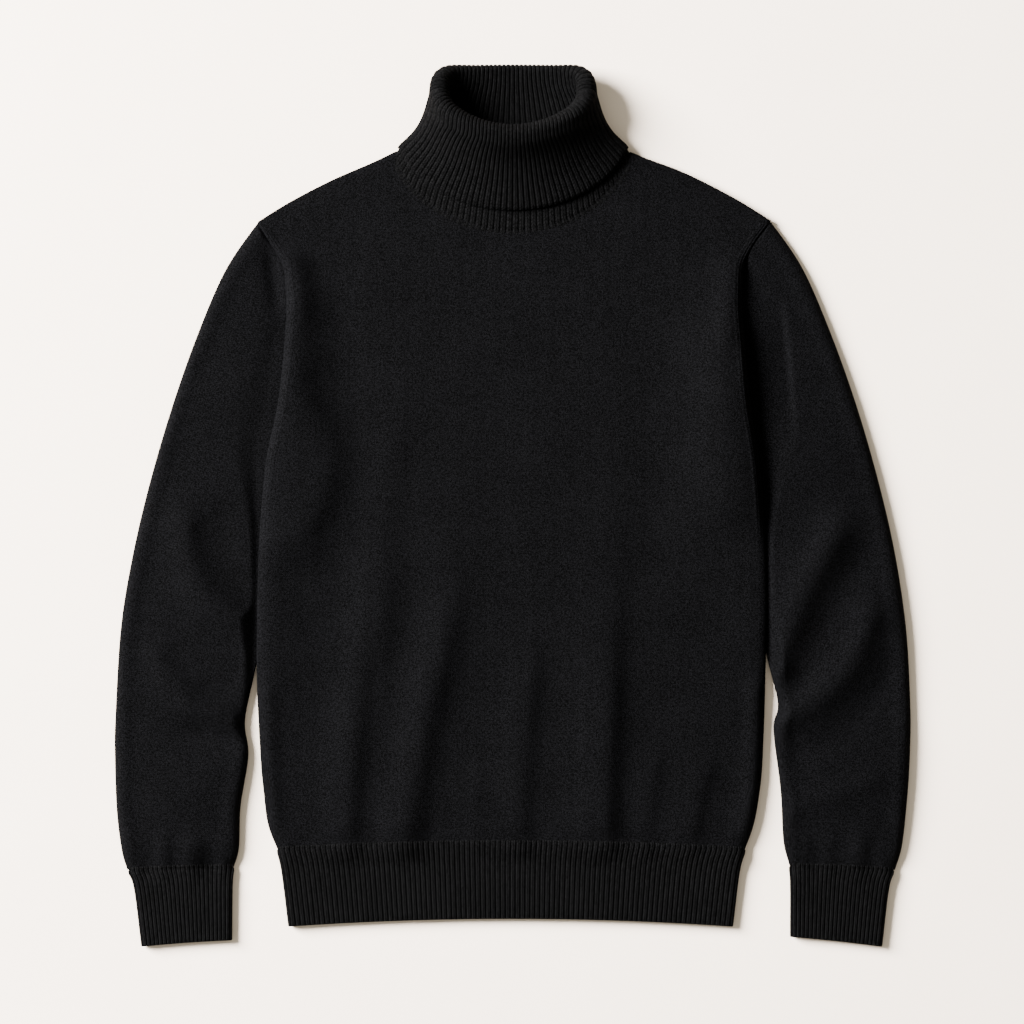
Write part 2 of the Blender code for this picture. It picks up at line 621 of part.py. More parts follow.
def fold_at(angle, level):
    """Distance from the stand to the turned-down layer."""
    back = np.maximum(-np.cos(angle), 0.0)
    return ring_value(level, "fold") * (1.0 - (1.0 - BACK_FOLD_SHARE) * back)


def collar_path(angle, down_levels, roll_turns, stand_levels):
    """Middle of the wall from the turn-down's edge over the roll to the neckline.

    Each row is the points and the direction that the visible side faces.
    """
    rows = []
    for level in down_levels:
        points, outwards, _ = collar_frame(angle, level)
        rows.append((points + outwards * fold_at(angle, level)[:, None], outwards))
    points, outwards, upwards = collar_frame(angle, 1.0)
    radius = fold_at(angle, 1.0)[:, None] / 2.0
    for turn in np.radians(roll_turns):
        facing = outwards * math.cos(turn) + upwards * math.sin(turn)
        rows.append((points + outwards * radius + facing * radius, facing))
    for level in stand_levels:
        points, outwards, _ = collar_frame(angle, level)
        rows.append((points, -outwards))
    return rows


def collar(garment):
    """Turtleneck: one ribbed wall, up the neck, over the roll and down again."""
    front = even_angles(-math.pi / 2.0, math.pi / 2.0, 2 * COLLAR_RIBS_FRONT,
                        lambda angle: stand_ring(angle, FRONT_SPACING_LEVEL))
    back = even_angles(math.pi / 2.0, 3.0 * math.pi / 2.0, 2 * COLLAR_RIBS_BACK,
                       lambda angle: stand_ring(angle, BACK_SPACING_LEVEL))
    angle = np.concatenate((front[:-1], back[:-1]))
    is_ridge = np.arange(len(angle)) % 2 == 1
    seen = collar_path(angle, SEEN_DOWN_LEVELS, SEEN_ROLL_TURNS, SEEN_STAND_LEVELS)
    hidden = collar_path(angle, HIDDEN_DOWN_LEVELS, HIDDEN_ROLL_TURNS, HIDDEN_STAND_LEVELS)
    rows = []
    for points, facing in seen:
        upper = smooth_step(facing[:, 2], PLAIN_BELOW, RIBBED_ABOVE)
        raised = RIB_WALL / 2.0 + np.where(is_ridge, RIB_RAISE, 0.0) * upper
        rows.append(points + facing * raised[:, None])
    in_band = [False] * (len(hidden) - 2) + [True, True]
    for (points, facing), banded in zip(reversed(hidden), reversed(in_band)):
        upper = smooth_step(-facing[:, 2], 0.0, BAND_FACING) if banded else 0.0
        raised = RIB_WALL / 2.0 + np.where(is_ridge, BAND_RAISE, 0.0) * upper
        rows.append(points - facing * raised[:, None])
    for row in rows:
        row[:, 2] = np.maximum(row[:, 2], 0.0)
    mesh = lofted_mesh("collar", rows, True, True)
    face_outwards(mesh)
    add_object("collar", mesh, RIB_COLOUR, garment)


# ================================================================ the garment
def clear_scene():
    for old in list(bpy.data.objects):
        bpy.data.objects.remove(old, do_unlink=True)


def build():
    clear_scene()
    garment = bpy.data.collections.new("turtleneck_sweater")
    bpy.context.scene.collection.children.link(garment)
    front_panel(garment)
    back_panel(garment)
    sleeve("sleeve_left", SLEEVE_LEFT, -1.0, SLEEVE_LEFT_FOLDS, garment)
    sleeve("sleeve_right", SLEEVE_RIGHT, 1.0, SLEEVE_RIGHT_FOLDS, garment)
    ribbed_band("cuff_left", CUFF_LEFT_ROWS, CUFF_RIBS, garment)
    ribbed_band("cuff_right", CUFF_RIGHT_ROWS, CUFF_RIBS, garment)
    ribbed_band("hem", HEM_ROWS, HEM_RIBS, garment)
    collar(garment)


build()
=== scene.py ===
# %% [markdown]
# # A black turtleneck sweater, laid flat
#
# The sweater is eight pieces of knit: a front, a back, two sleeves, two cuffs, a hem
# band and a collar.  Each one replaces the plain solid of the same name, has the same
# form, and adds what a fine knit shows: round ribs, creases, stitches and a soft nap.
# Lengths are in metres.  +Y runs from the hem to the collar and +Z up from the table.

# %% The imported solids
import math

import bpy
import numpy as np
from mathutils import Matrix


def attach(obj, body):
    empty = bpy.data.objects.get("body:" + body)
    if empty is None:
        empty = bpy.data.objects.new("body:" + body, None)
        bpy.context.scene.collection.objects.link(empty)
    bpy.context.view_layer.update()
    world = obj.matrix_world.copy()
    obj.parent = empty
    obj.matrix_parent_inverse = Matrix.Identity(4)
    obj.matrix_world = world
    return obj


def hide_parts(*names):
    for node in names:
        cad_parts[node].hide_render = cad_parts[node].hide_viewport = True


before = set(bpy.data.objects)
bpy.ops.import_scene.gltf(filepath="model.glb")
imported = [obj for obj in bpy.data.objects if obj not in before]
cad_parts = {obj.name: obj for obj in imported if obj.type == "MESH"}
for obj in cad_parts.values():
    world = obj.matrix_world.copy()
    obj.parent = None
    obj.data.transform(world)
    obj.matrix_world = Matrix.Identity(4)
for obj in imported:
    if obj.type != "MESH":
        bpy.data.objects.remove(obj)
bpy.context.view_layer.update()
print("solids to dress:", ", ".join(sorted(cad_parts)))

# %% [markdown]
# ## Sizes
#
# A sweater is drawn flat first: how wide the body is at each height, where the sleeves
# run, how far the ribs draw in.  The same few tables drive every piece here, so pieces
# that are linked together meet along one line.  Rows are in millimetres, and the
# columns of each table are named above it.

# %% Cloth and body sizes
MM = 0.001
BODY_CLOTH = 1.8 * MM       # thickness of the plain knit
RIB_CLOTH = 2.2 * MM        # thickness of the rib, without its ridges
BODY_HEIGHT = 8.4 * MM      # top of the front where it lies slack
SIDE_ROLL = 13.0 * MM       # how far in the front's side edge rounds over
BACK_CURL = 8.0 * MM        # how far in the back's edge turns up
BACK_RIM = 3.4 * MM         # height of that edge
SHOULDER_ROLL = 16.0 * MM   # how far in the front's shoulder edge rounds over
SHOULDER_SLOPE = 0.88       # cosine of the shoulder seam's slope
HEM_LINE = -303.6 * MM      # where the body meets the hem, at its middle
HEM_LINE_DROP = 6.0 * MM    # how much lower it runs at the sides
HEM_SEAM_HEIGHT = 8.8 * MM  # height of the front at that line
SEAM_PULL = 18.0 * MM       # how far above the hem the front is pulled down to it
SEAM_SHARE = 0.58           # of the folds that is left at the seam
FRONT_CROWN = 1.2 * MM      # how much higher the front is along its middle
HALF_BODY = 230.0 * MM
HALF_HEM = 212.0 * MM
SHOULDER_POINT = 252.0 * MM  # how far up the body the sleeves reach
COVER_START = -190.0 * MM   # the front's edge begins to lie over the sleeve here
COVER_FULL = -150.0 * MM    # and does so fully here
BACK_RIM_RISE = 35.0 * MM   # over which the back's edge turns up again above the sleeve
RIM_DROP = 0.9 * MM         # the front's edge reaches down almost to what lies below it

SIDE_SIGNS = {"left": -1.0, "right": 1.0}   # of x on each side of the middle
SIDE_COLUMNS = ("y", "left", "right", "rim", "round_left", "round_right")
SIDES = (
    (256.0, -231.0, 233.2, 7.4, 3.0, 2.6),
    (234.0, -217.0, 217.0, 7.6, 4.0, 2.8),
    (219.0, -208.0, 209.2, 8.0, 7.0, 3.6),
    (195.0, -204.0, 206.8, 8.2, 9.0, 4.6),
    (140.0, -205.5, 209.4, 8.2, 10.0, 5.0),
    (86.0, -212.0, 214.5, 8.2, 10.0, 5.5),
    (43.0, -221.0, 221.5, 8.2, 10.5, 7.0),
    (-6.0, -226.0, 226.0, 8.2, 11.0, 8.0),
    (-95.0, -229.5, 228.5, 8.2, 12.0, 9.0),
    (-148.0, -230.0, 227.5, 7.0, 13.0, 9.0),
    (-202.0, -228.0, 226.0, 6.1, 11.0, 8.0),
    (-256.0, -224.0, 222.5, 6.1, 11.0, 8.0),
    (-292.0, -218.5, 215.5, 6.1, 10.0, 9.0),
    (-310.0, -211.2, 208.8, 6.1, 9.0, 9.0),
)
SHOULDER_COLUMNS = ("x", "y")
SHOULDER = (
    (0.0, 372.0),
    (60.0, 341.0),
    (106.0, 317.5),
    (116.0, 312.5),
    (167.0, 289.8),
    (206.0, 269.0),
    (233.0, 252.0),
)
RIGHT_SHOULDER = (100.0 * MM, 150.0 * MM, 3.0 * MM)     # it lies a little higher: from, to, by
TUCK_COLUMNS = ("y", "tuck")
TUCK = (
    (60.0, 21.0),
    (86.0, 17.0),
    (140.0, 10.0),
    (195.0, 6.0),
    (215.0, 3.5),
    (235.0, 2.0),
    (256.0, 2.5),
)

# %% Sleeve sizes
SLEEVE_EDGE = 3.7 * MM      # height of a sleeve's side edges
SLEEVE_FOOT = 6.0 * MM      # how far in from an edge the sleeve lies on the table
SLEEVE_ROUND = 6.0 * MM     # how far in the side edges round over
SLEEVE_BEAD = (8.5 * MM, 6.5 * MM, 1.4 * MM)    # thicker edges: inset, reach and lift
SLEEVE_FALL = 2.2 * MM      # how much lower the sleeve is at its edges than in its middle
TUCK_CLEARANCE = 1.5 * MM   # between the front's edge and the sleeve below it
TUCK_BEND = 0.4 * MM        # softness of the bend where the sleeve rises from under it
LID_END = 36.0 * MM         # beyond this distance from the edge the sleeve lies free
LID_COLUMNS = ("y", "margin", "slope")  # how it rises out from under the edge, in thousandths
LIDS = {
    "left": ((-150.0, 3.0, 750.0), (-30.0, 3.0, 750.0), (60.0, 12.0, 220.0),
             (150.0, 9.0, 240.0), (200.0, 4.0, 400.0), (228.0, 0.6, 1200.0),
             (256.0, 0.2, 1800.0)),
    "right": ((-150.0, 3.0, 750.0), (-30.0, 3.0, 750.0), (60.0, 12.0, 150.0),
              (190.0, 14.0, 120.0), (208.0, 6.0, 300.0), (222.0, 0.5, 1500.0),
              (256.0, 0.0, 2500.0)),
}
SLEEVE_ROOM = 1.6 * MM      # between the back's edge and the sleeve beside it
ARMHOLE_STATIONS = 5.0      # rows of the table over which the tucked-in end is curved
SLEEVE_COLUMNS = ("outer_x", "outer_y", "inner_x", "inner_y", "height")
SLEEVES = {
    "left": (
        (-226.5, 253.5, -192.0, 68.0, 9.2),
        (-230.0, 252.0, -194.0, 66.0, 9.4),
        (-258.5, 210.0, -197.5, 45.0, 9.5),
        (-285.0, 148.5, -202.0, 13.5, 10.5),
        (-308.5, 81.0, -208.5, -22.5, 11.0),
        (-328.0, 13.5, -215.5, -63.0, 11.0),
        (-342.5, -49.5, -223.5, -103.5, 11.0),
        (-352.5, -112.5, -231.0, -146.5, 11.0),
        (-357.3, -193.5, -240.5, -193.5, 10.5),
        (-357.65, -227.0, -237.5, -225.0, 11.0),
        (-356.0, -274.5, -244.5, -271.0, 11.0),
        (-351.5, -310.5, -246.0, -308.0, 10.0),
        (-346.5, -328.0, -250.5, -325.2, 7.2),
    ),
    "right": (
        (230.4, 255.4, 192.0, 68.0, 9.0),
        (233.4, 253.2, 194.0, 66.0, 9.4),
        (261.5, 211.5, 197.0, 45.0, 10.0),
        (288.5, 148.5, 201.5, 13.5, 10.5),
        (312.0, 81.0, 208.5, -22.5, 11.0),
        (331.7, 11.0, 215.5, -63.0, 11.0),
        (345.2, -50.5, 222.5, -103.5, 11.0),
        (354.2, -114.0, 229.5, -139.5, 11.0),
        (357.8, -180.0, 238.6, -178.5, 10.5),
        (357.7, -216.0, 234.7, -202.0, 11.0),
        (355.6, -256.5, 241.0, -256.5, 11.0),
        (350.5, -305.0, 243.5, -301.5, 10.0),
        (344.0, -328.0, 249.0, -324.4, 7.2),
    ),
}

# %% Band and collar sizes
HEM_RIBS = 92
CUFF_RIBS = 24
RIB_RAISE = 0.80 * MM       # how far a ridge stands up
COLLAR_RAISE = 0.95 * MM    # and on the collar
BAND_ROUND = 4.5 * MM       # how far in a band's side edges round over
BAND_COLUMNS = ("left_x", "left_y", "right_x", "right_y", "bow", "height")
HEM_ROWS = (
    (-212.0, -310.5, 209.6, -310.5, 6.0, 7.6),
    (-207.5, -330.0, 204.0, -330.0, 6.0, 7.6),
    (-201.5, -378.0, 198.0, -378.0, 7.0, 7.2),
)
CUFF_ROWS = {
    "left": (
        (-345.8, -329.4, -250.3, -326.4, 1.0, 7.6),
        (-340.0, -345.0, -252.0, -342.0, 1.0, 7.6),
        (-333.5, -396.0, -252.5, -390.3, 0.6, 7.2),
    ),
    "right": (
        (248.6, -325.6, 343.3, -329.4, 1.0, 7.6),
        (249.8, -342.0, 338.0, -345.6, 1.0, 7.6),
        (249.8, -387.3, 332.0, -396.0, 0.6, 7.2),
    ),
}
COLLAR_RIBS_FRONT = 46
COLLAR_RIBS_BACK = 41
RIB_SPACING_LEVEL = 0.75    # the front's ribs are evenly spaced along the ring of this level
CORNER_SHARE = 1.25         # ribs are this much closer where the rings turn to the back
COLLAR_LEAN = math.radians(16.0)  # how far back the neck leans at its front
SIDE_LEAN = math.radians(50.0)      # how much more the roll turns up at its sides
COLLAR_COLUMNS = ("level", "half_width", "y_front", "y_side", "y_back",
                  "z_front", "z_side", "z_back", "fold")
COLLAR_RINGS = (
    (0.00, 104.5, 248.5, 316.0, 300.0, 8.4, 7.2, 1.4, 3.0),
    (0.20, 99.6, 265.6, 321.5, 316.0, 10.8, 9.0, 4.3, 3.0),
    (0.45, 83.4, 292.0, 336.0, 337.0, 17.2, 13.0, 4.6, 3.8),
    (0.72, 70.0, 315.0, 352.0, 358.0, 25.4, 18.6, 5.2, 7.6),
    (0.80, 65.6, 320.3, 356.5, 368.0, 27.8, 20.6, 7.0, 9.8),
    (0.88, 61.0, 325.5, 361.0, 377.5, 30.0, 22.8, 9.6, 12.0),
    (1.00, 58.6, 333.5, 368.0, 391.0, 32.6, 25.0, 13.4, 13.0),
)
TURN_DOWN_END = 0.20        # level at which the turned-down layer ends
BAND_TOP = 0.19             # level up to which the outside of the stand shows its ribs
BACK_FOLD_SHARE = 0.42      # how wide the fold is at the back, as a share of the front's
LAYER_GAP = 2.5 * MM        # least distance between the middles of two layers
LEFT_LIFT = 3.0 * MM        # how much higher the roll stands at its left
SIDE_FULL = 0.12            # how much thicker the roll is at its sides
COLLAR_SHIFT = 0.5 * MM     # it lies a little to the right of the body's middle
SHIFT_LEVELS = (0.0, 0.2)   # levels over which the shift comes in,
LIFT_LEVELS = (0.5, 1.0)    # the left's lift,
LEAN_LEVELS = (0.6, 1.0)    # the sides' lean
FULL_LEVELS = (0.45, 1.0)   # and their fullness
EDGE_CLOTH = 1.3 * MM       # thickness at the turned-down edge
EDGE_TAPER = 0.07           # levels over which it reaches its full thickness
FRONT_POINT = 1.25          # exponent of the ring ahead: above 1 it is pointed
BACK_SQUARE_LOW = 0.6       # exponents of the ring behind: a smaller one is squarer
BACK_SQUARE_TOP = 0.36
ARCH = 0.64                 # exponents of a ring's heights, ahead
FLAT = 0.72                 # and behind
NECK_TUCK = 0.5 * MM        # how far the panels reach in under the collar
NECK_TUCK_SIDE = 2.0 * MM   # and how much further at the shoulders
JOIN_REACH = 8.5 * MM       # how far the collar's ribs run out over the front
JOIN_RIDGE_END = 7.5 * MM   # and how far their ridges stand up
JOIN_START = 0.3 * MM       # how far out the first of these rows lies
JOIN_ABOVE = 0.2 * MM       # how high they lie on the front at first
JOIN_LEVEL = 1.0 * MM       # how far out they begin to sink
JOIN_SINK = 0.75 * MM       # and how far they sink into it
JOIN_SIDES = (0.03, 0.25)   # cosines of the angles at which they come in from the sides
JOIN_BEND = (3.5 * MM, 3.0 * MM)    # reach at which they lie on the front, and face up

# %% [markdown]
# ## Curves that the pieces share
#
# A smooth curve through each table gives every height and width.  Folds are lines on
# the cloth with a soft bell-shaped section: positive ones stand up, negative ones are
# troughs.  They come from how the garment hangs and is put down, so they are placed one
# by one and no two are alike.  A slow ripple of small waves is added, because cloth that
# lies slack is never quite level.


# %% Reading the tables
def column(table, names, name):
    """One named column of a table in millimetres, in metres."""
    return np.array([row[names.index(name)] for row in table]) * MM


def columns(table, names):
    """Every column of a table by its name, in metres."""
    return {name: column(table, names, name) for name in names}


def named_rows(table, names):
    """The rows of a table one by one, each as named sizes in metres."""
    for row in table:
        yield dict(zip(names, np.array(row) * MM))


def smooth_at(place, places, values):
    """Smooth curve through rising places and their values, read at one or more places."""
    slopes = np.gradient(values, places)
    place = np.clip(place, places[0], places[-1])
    start = np.clip(np.searchsorted(places, place, side="right") - 1, 0, len(places) - 2)
    span = places[start + 1] - places[start]
    t = (place - places[start]) / span
    return ((2 * t**3 - 3 * t**2 + 1) * values[start]
            + (t**3 - 2 * t**2 + t) * span * slopes[start]
            + (3 * t**2 - 2 * t**3) * values[start + 1]
            + (t**3 - t**2) * span * slopes[start + 1])


def row_at(place, table, names):
    """Every size of a table at a place between its rows, which count from 0."""
    places = np.arange(len(table), dtype=float)
    return {name: smooth_at(place, places, values)
            for name, values in columns(table, names).items()}


def smooth_step(value, low, high):
    """0 below low, 1 above high and a soft rise between them."""
    t = np.clip((value - low) / (high - low), 0.0, 1.0)
    return t * t * (3.0 - 2.0 * t)


def quarter_round(distance, reach):
    """Height share of a rounded edge: 0 at the edge, 1 from reach inwards."""
    t = np.clip(distance / reach, 0.0, 1.0)
    return np.sqrt(1.0 - (1.0 - t)**2)


def soft_minimum(first, second, softness):
    """The lower of two heights, with a soft bend where they cross."""
    return -softness * np.logaddexp(-first / softness, -second / softness)


def running_total(lengths):
    """How far each point of a line lies from its first, from the lengths between them."""
    return np.concatenate(([0.0], np.cumsum(lengths)))


# %% Folds and ripples
FOLD_COLUMNS = ("x0", "y0", "x1", "y1", "bow", "half_width", "lift", "fade", "skew")


def fold_lift(x, y, folds):
    """Height that soft ridges and troughs add at plan points.

    A fold runs from its first to its last point, bowed to the right of that way, and is
    wider on that side where its skew, in thousandths, is more than 0.
    """
    lift = np.zeros(np.shape(x))
    for at in named_rows(folds, FOLD_COLUMNS):
        run_x, run_y = at["x1"] - at["x0"], at["y1"] - at["y0"]
        length = math.hypot(run_x, run_y)
        along = ((x - at["x0"]) * run_x + (y - at["y0"]) * run_y) / length
        beyond = np.maximum(np.maximum(-along, along - length), 0.0)
        share = np.clip(along / length, 0.0, 1.0)
        aside = ((x - at["x0"]) * run_y - (y - at["y0"]) * run_x) / length
        aside = aside - at["bow"] * 4.0 * share * (1.0 - share)
        half_width = at["half_width"] * (1.0 + np.sign(aside) * at["skew"])
        reach = np.exp(-(beyond / at["fade"])**2)
        lift += at["lift"] * reach * np.exp(-(aside / half_width)**2)
    return lift


def ripple(x, y, wavelength, seed, count=9):
    """Slow waves between about -1 and 1, from a few crossing sines."""
    draw = np.random.default_rng(seed)
    total = np.zeros(np.shape(x))
    for _ in range(count):
        heading = draw.uniform(0.0, 2.0 * math.pi)
        turns = 2.0 * math.pi / (wavelength * draw.uniform(0.7, 1.6))
        phase = draw.uniform(0.0, 2.0 * math.pi)
        total += np.sin(turns * (x * math.cos(heading) + y * math.sin(heading)) + phase)
    return total / math.sqrt(count)


print("tables hold", len(SIDES), "side rows and", len(COLLAR_RINGS), "collar rings")

# %% [markdown]
# ## Meshes of cloth
#
# Every piece is woven from rows of points, like the rows of knitting.  The outer side
# comes from the curves, the inner side lies one thickness further in, and the edges
# between them are closed, so each piece is a real thin wall.  A map named cloth holds
# how far each point lies across and along the knit, in metres, so the stitches follow
# the cloth and not the table.


# %% Rows of points to a mesh
def loft(name, rows, across, along, close_rows=False, close_columns=False):
    """Quads between rows of points, with the cloth map from across and along.

    across and along have one more column (or row) than the points where that
    direction is closed, so that the map doesn't run backwards over the last face.
    """
    rows = np.asarray(rows)
    n_rows, n_columns = rows.shape[:2]
    faces, corners = [], []
    for r in range(n_rows if close_rows else n_rows - 1):
        for c in range(n_columns if close_columns else n_columns - 1):
            r2, c2 = (r + 1) % n_rows, (c + 1) % n_columns
            faces.append((r * n_columns + c, r * n_columns + c2,
                          r2 * n_columns + c2, r2 * n_columns + c))
            corners.append(((r, c), (r, c + 1), (r + 1, c + 1), (r + 1, c)))
    mesh = bpy.data.meshes.new(name)
    mesh.from_pydata(rows.reshape(-1, 3).tolist(), [], faces)
    corners = np.array(corners).reshape(-1, 2)
    cloth_map = mesh.uv_layers.new(name="cloth")
    values = np.column_stack((across[corners[:, 0], corners[:, 1]],
                              along[corners[:, 0], corners[:, 1]]))
    cloth_map.uv.foreach_set("vector", values.ravel())
    mesh.shade_smooth()
    return mesh


def add_object(name, data):
    """An object at the origin, in the scene."""
    holder = bpy.data.objects.new(name, data)
    bpy.context.scene.collection.objects.link(holder)
    return holder


def add_piece(name, mesh, material):
    """A mesh as an object with one material."""
    mesh.materials.clear()
    mesh.materials.append(material)
    return add_object(name, mesh)


def plain_mesh(piece):
    """Replace a piece's mesh by what its modifiers make of it, and drop them."""
    evaluated = piece.evaluated_get(bpy.context.evaluated_depsgraph_get())
    mesh = bpy.data.meshes.new_from_object(evaluated)
    piece.modifiers.clear()
    old, piece.data = piece.data, mesh
    bpy.data.meshes.remove(old)
    mesh.name = piece.name
    return piece


def triangles(piece):
    """How many triangles a piece is drawn with."""
    return sum(len(face.vertices) - 2 for face in piece.data.polygons)


# %% A sheet to a wall
INNER_FLOOR = 0.1 * MM      # least height over the table of a wall's own inner side
FLOOR_SLACK = 0.1 * INNER_FLOOR  # points that are no deeper than this are left alone


def give_thickness(piece, thickness):
    """Close an open sheet into a wall, inwards from its outer side, none under the table."""
    wall = piece.modifiers.new("cloth", "SOLIDIFY")
    wall.thickness = thickness
    wall.offset = -1.0
    wall.use_rim = True
    piece = plain_mesh(piece)
    for vertex in piece.data.vertices:
        if vertex.co.z < -FLOOR_SLACK:
            vertex.co.z = INNER_FLOOR
    return piece


# %% [markdown]
# ## Stitches
#
# Knit cloth is columns of small V-shaped loops.  Modelling each loop would take millions
# of faces, so a node group draws them as height instead: two slanted legs in each column,
# each leg swelling once in every row.  The group puts out a height and a mask of the gaps
# between legs.  Both the plain knit and the rib use it, with their own loop sizes, so it
# is built once.


# %% Node helpers
def math_node(tree, operation, *values):
    """One Math node: each value is a number or another node's output."""
    node = tree.nodes.new("ShaderNodeMath")
    node.operation = operation
    for socket, value in zip(node.inputs, values):
        if isinstance(value, bpy.types.NodeSocket):
            tree.links.new(value, socket)
        else:
            socket.default_value = value
    return node.outputs[0]


def new_group(name, kind, inputs, outputs):
    """An empty node group with named sockets, and its two end nodes."""
    tree = bpy.data.node_groups.new(name, kind)
    for socket_name, socket_type, value in inputs:
        socket = tree.interface.new_socket(name=socket_name, in_out="INPUT",
                                           socket_type=socket_type)
        if value is not None:
            socket.default_value = value
    for socket_name, socket_type in outputs:
        tree.interface.new_socket(name=socket_name, in_out="OUTPUT",
                                  socket_type=socket_type)
    return tree, tree.nodes.new("NodeGroupInput"), tree.nodes.new("NodeGroupOutput")


def noise(tree, vector, scale, detail):
    """A noise texture's value, at a scale in cells per metre."""
    node = tree.nodes.new("ShaderNodeTexNoise")
    node.inputs["Scale"].default_value = scale
    node.inputs["Detail"].default_value = detail
    tree.links.new(vector, node.inputs["Vector"])
    return node.outputs["Fac"]


def mix_colours(tree, factor, first, second):
    """A blend from one colour to another, by another node's output."""
    blend = tree.nodes.new("ShaderNodeMix")
    blend.data_type = "RGBA"
    blend.inputs["A"].default_value = first
    blend.inputs["B"].default_value = second
    tree.links.new(factor, blend.inputs["Factor"])
    return blend.outputs["Result"]


def matt_material(name, roughness, specular):
    """A new material and its shader."""
    material = bpy.data.materials.new(name)
    material.use_nodes = True
    shader = material.node_tree.nodes["Principled BSDF"]
    shader.inputs["Roughness"].default_value = roughness
    shader.inputs["Specular IOR Level"].default_value = specular
    return material, shader


# %% The knit loops
LOOP_WANDER = 420.0         # noise cells in a metre by which loops stray from their columns
LEG_ROUND = 0.6             # exponent of a leg's section: below 1 it is fuller than a sine
LEG_SWELL = 0.65            # share of a leg's height that comes and goes in each row


def knit_loops():
    """Height and gaps of V-shaped loops, from the cloth map in metres."""
    tree, ends, out = new_group(
        "knit_loops", "ShaderNodeTree",
        (("Cloth", "NodeSocketVector", None),
         ("Column Width", "NodeSocketFloat", 0.0019),
         ("Row Height", "NodeSocketFloat", 0.0015),
         ("Slant", "NodeSocketFloat", 0.8),
         ("Unevenness", "NodeSocketFloat", 0.25)),
        (("Height", "NodeSocketFloat"), ("Gap", "NodeSocketFloat")))
    split = tree.nodes.new("ShaderNodeSeparateXYZ")
    tree.links.new(ends.outputs["Cloth"], split.inputs[0])
    wander = noise(tree, ends.outputs["Cloth"], LOOP_WANDER, 1.0)
    wander = math_node(tree, "SUBTRACT", wander, 0.5)
    wander = math_node(tree, "MULTIPLY", wander, ends.outputs["Unevenness"])
    columns_before = math_node(tree, "DIVIDE", split.outputs["X"], ends.outputs["Column Width"])
    columns_before = math_node(tree, "ADD", columns_before, wander)
    rows_before = math_node(tree, "DIVIDE", split.outputs["Y"], ends.outputs["Row Height"])
    rows_before = math_node(tree, "ADD", rows_before, wander)
    within = math_node(tree, "FRACT", columns_before)
    from_middle = math_node(tree, "ABSOLUTE", math_node(tree, "MULTIPLY_ADD", within, 2.0, -1.0))
    leg = math_node(tree, "SINE", math_node(tree, "MULTIPLY", from_middle, math.pi))
    leg = math_node(tree, "POWER", math_node(tree, "MAXIMUM", leg, 0.0), LEG_ROUND)
    slanted = math_node(tree, "MULTIPLY_ADD", from_middle, ends.outputs["Slant"], rows_before)
    swell = math_node(tree, "SINE", math_node(tree, "MULTIPLY",
                                              math_node(tree, "FRACT", slanted), math.pi))
    swell = math_node(tree, "MULTIPLY_ADD", swell, LEG_SWELL, 1.0 - LEG_SWELL)
    height = math_node(tree, "MULTIPLY", leg, swell)
    tree.links.new(height, out.inputs["Height"])
    tree.links.new(math_node(tree, "SUBTRACT", 1.0, height), out.inputs["Gap"])
    return tree


KNIT_LOOPS = knit_loops()
print("knit_loops has", len(KNIT_LOOPS.nodes), "nodes")

# %% [markdown]
# ## Black wool
#
# The yarn is spun from fibres that are not all equally black, so close up the cloth is
# slightly mottled.  It is matt, and a short nap catches light where the surface turns
# away, which the sheen of the shader gives.  The gaps between loops are darker, because
# little light comes out of them.  One function makes the wool, and the plain knit and
# the rib differ in their colour and loops.


# %% Wool material
GRAIN_TURN = (0.61, 0.53, 0.34)     # keeps the grain even: cloth never lies along its cells
FIBRE_CELLS = 850.0         # noise cells in a metre: of single fibres,
LOOP_CELLS = 330.0          # of lighter and darker loops,
PATCH_CELLS = 26.0          # of wide soft patches
FUZZ_CELLS = 1600.0         # and of the nap
MIDDLE_BLEND = 0.62         # how much of the light fibre the cloth holds on the whole
PATCH_CONTRAST = 0.3        # and how much it varies from patch to patch
GAP_SHADE = 0.4             # how much of the light fibre is lost in the gaps between loops
FUZZ_RELIEF = 0.5           # height of the nap as a share of a loop's
RELIEF_DEPTH = 0.4 * MM     # depth of the loops' relief


def stitch_node(tree, loops):
    """The knit loops with one stitch's sizes, laid out on the cloth map."""
    cloth = tree.nodes.new("ShaderNodeUVMap")
    cloth.uv_map = "cloth"
    stitches = tree.nodes.new("ShaderNodeGroup")
    stitches.node_tree = KNIT_LOOPS
    tree.links.new(cloth.outputs["UV"], stitches.inputs["Cloth"])
    for socket_name, value in loops.items():
        stitches.inputs[socket_name].default_value = value
    return stitches


def turned_place(tree):
    """Places on the piece, turned so that its flat parts cross the noise at a slant."""
    turned = tree.nodes.new("ShaderNodeMapping")
    turned.inputs["Rotation"].default_value = GRAIN_TURN
    place = tree.nodes.new("ShaderNodeTexCoord").outputs["Object"]
    tree.links.new(place, turned.inputs["Vector"])
    return turned.outputs["Vector"]


def centred_noise(tree, place, cells, detail, contrast, middle=0.0):
    """Noise of some contrast about a middle value."""
    value = noise(tree, place, cells, detail)
    return math_node(tree, "MULTIPLY_ADD", value, contrast, middle - contrast / 2.0)


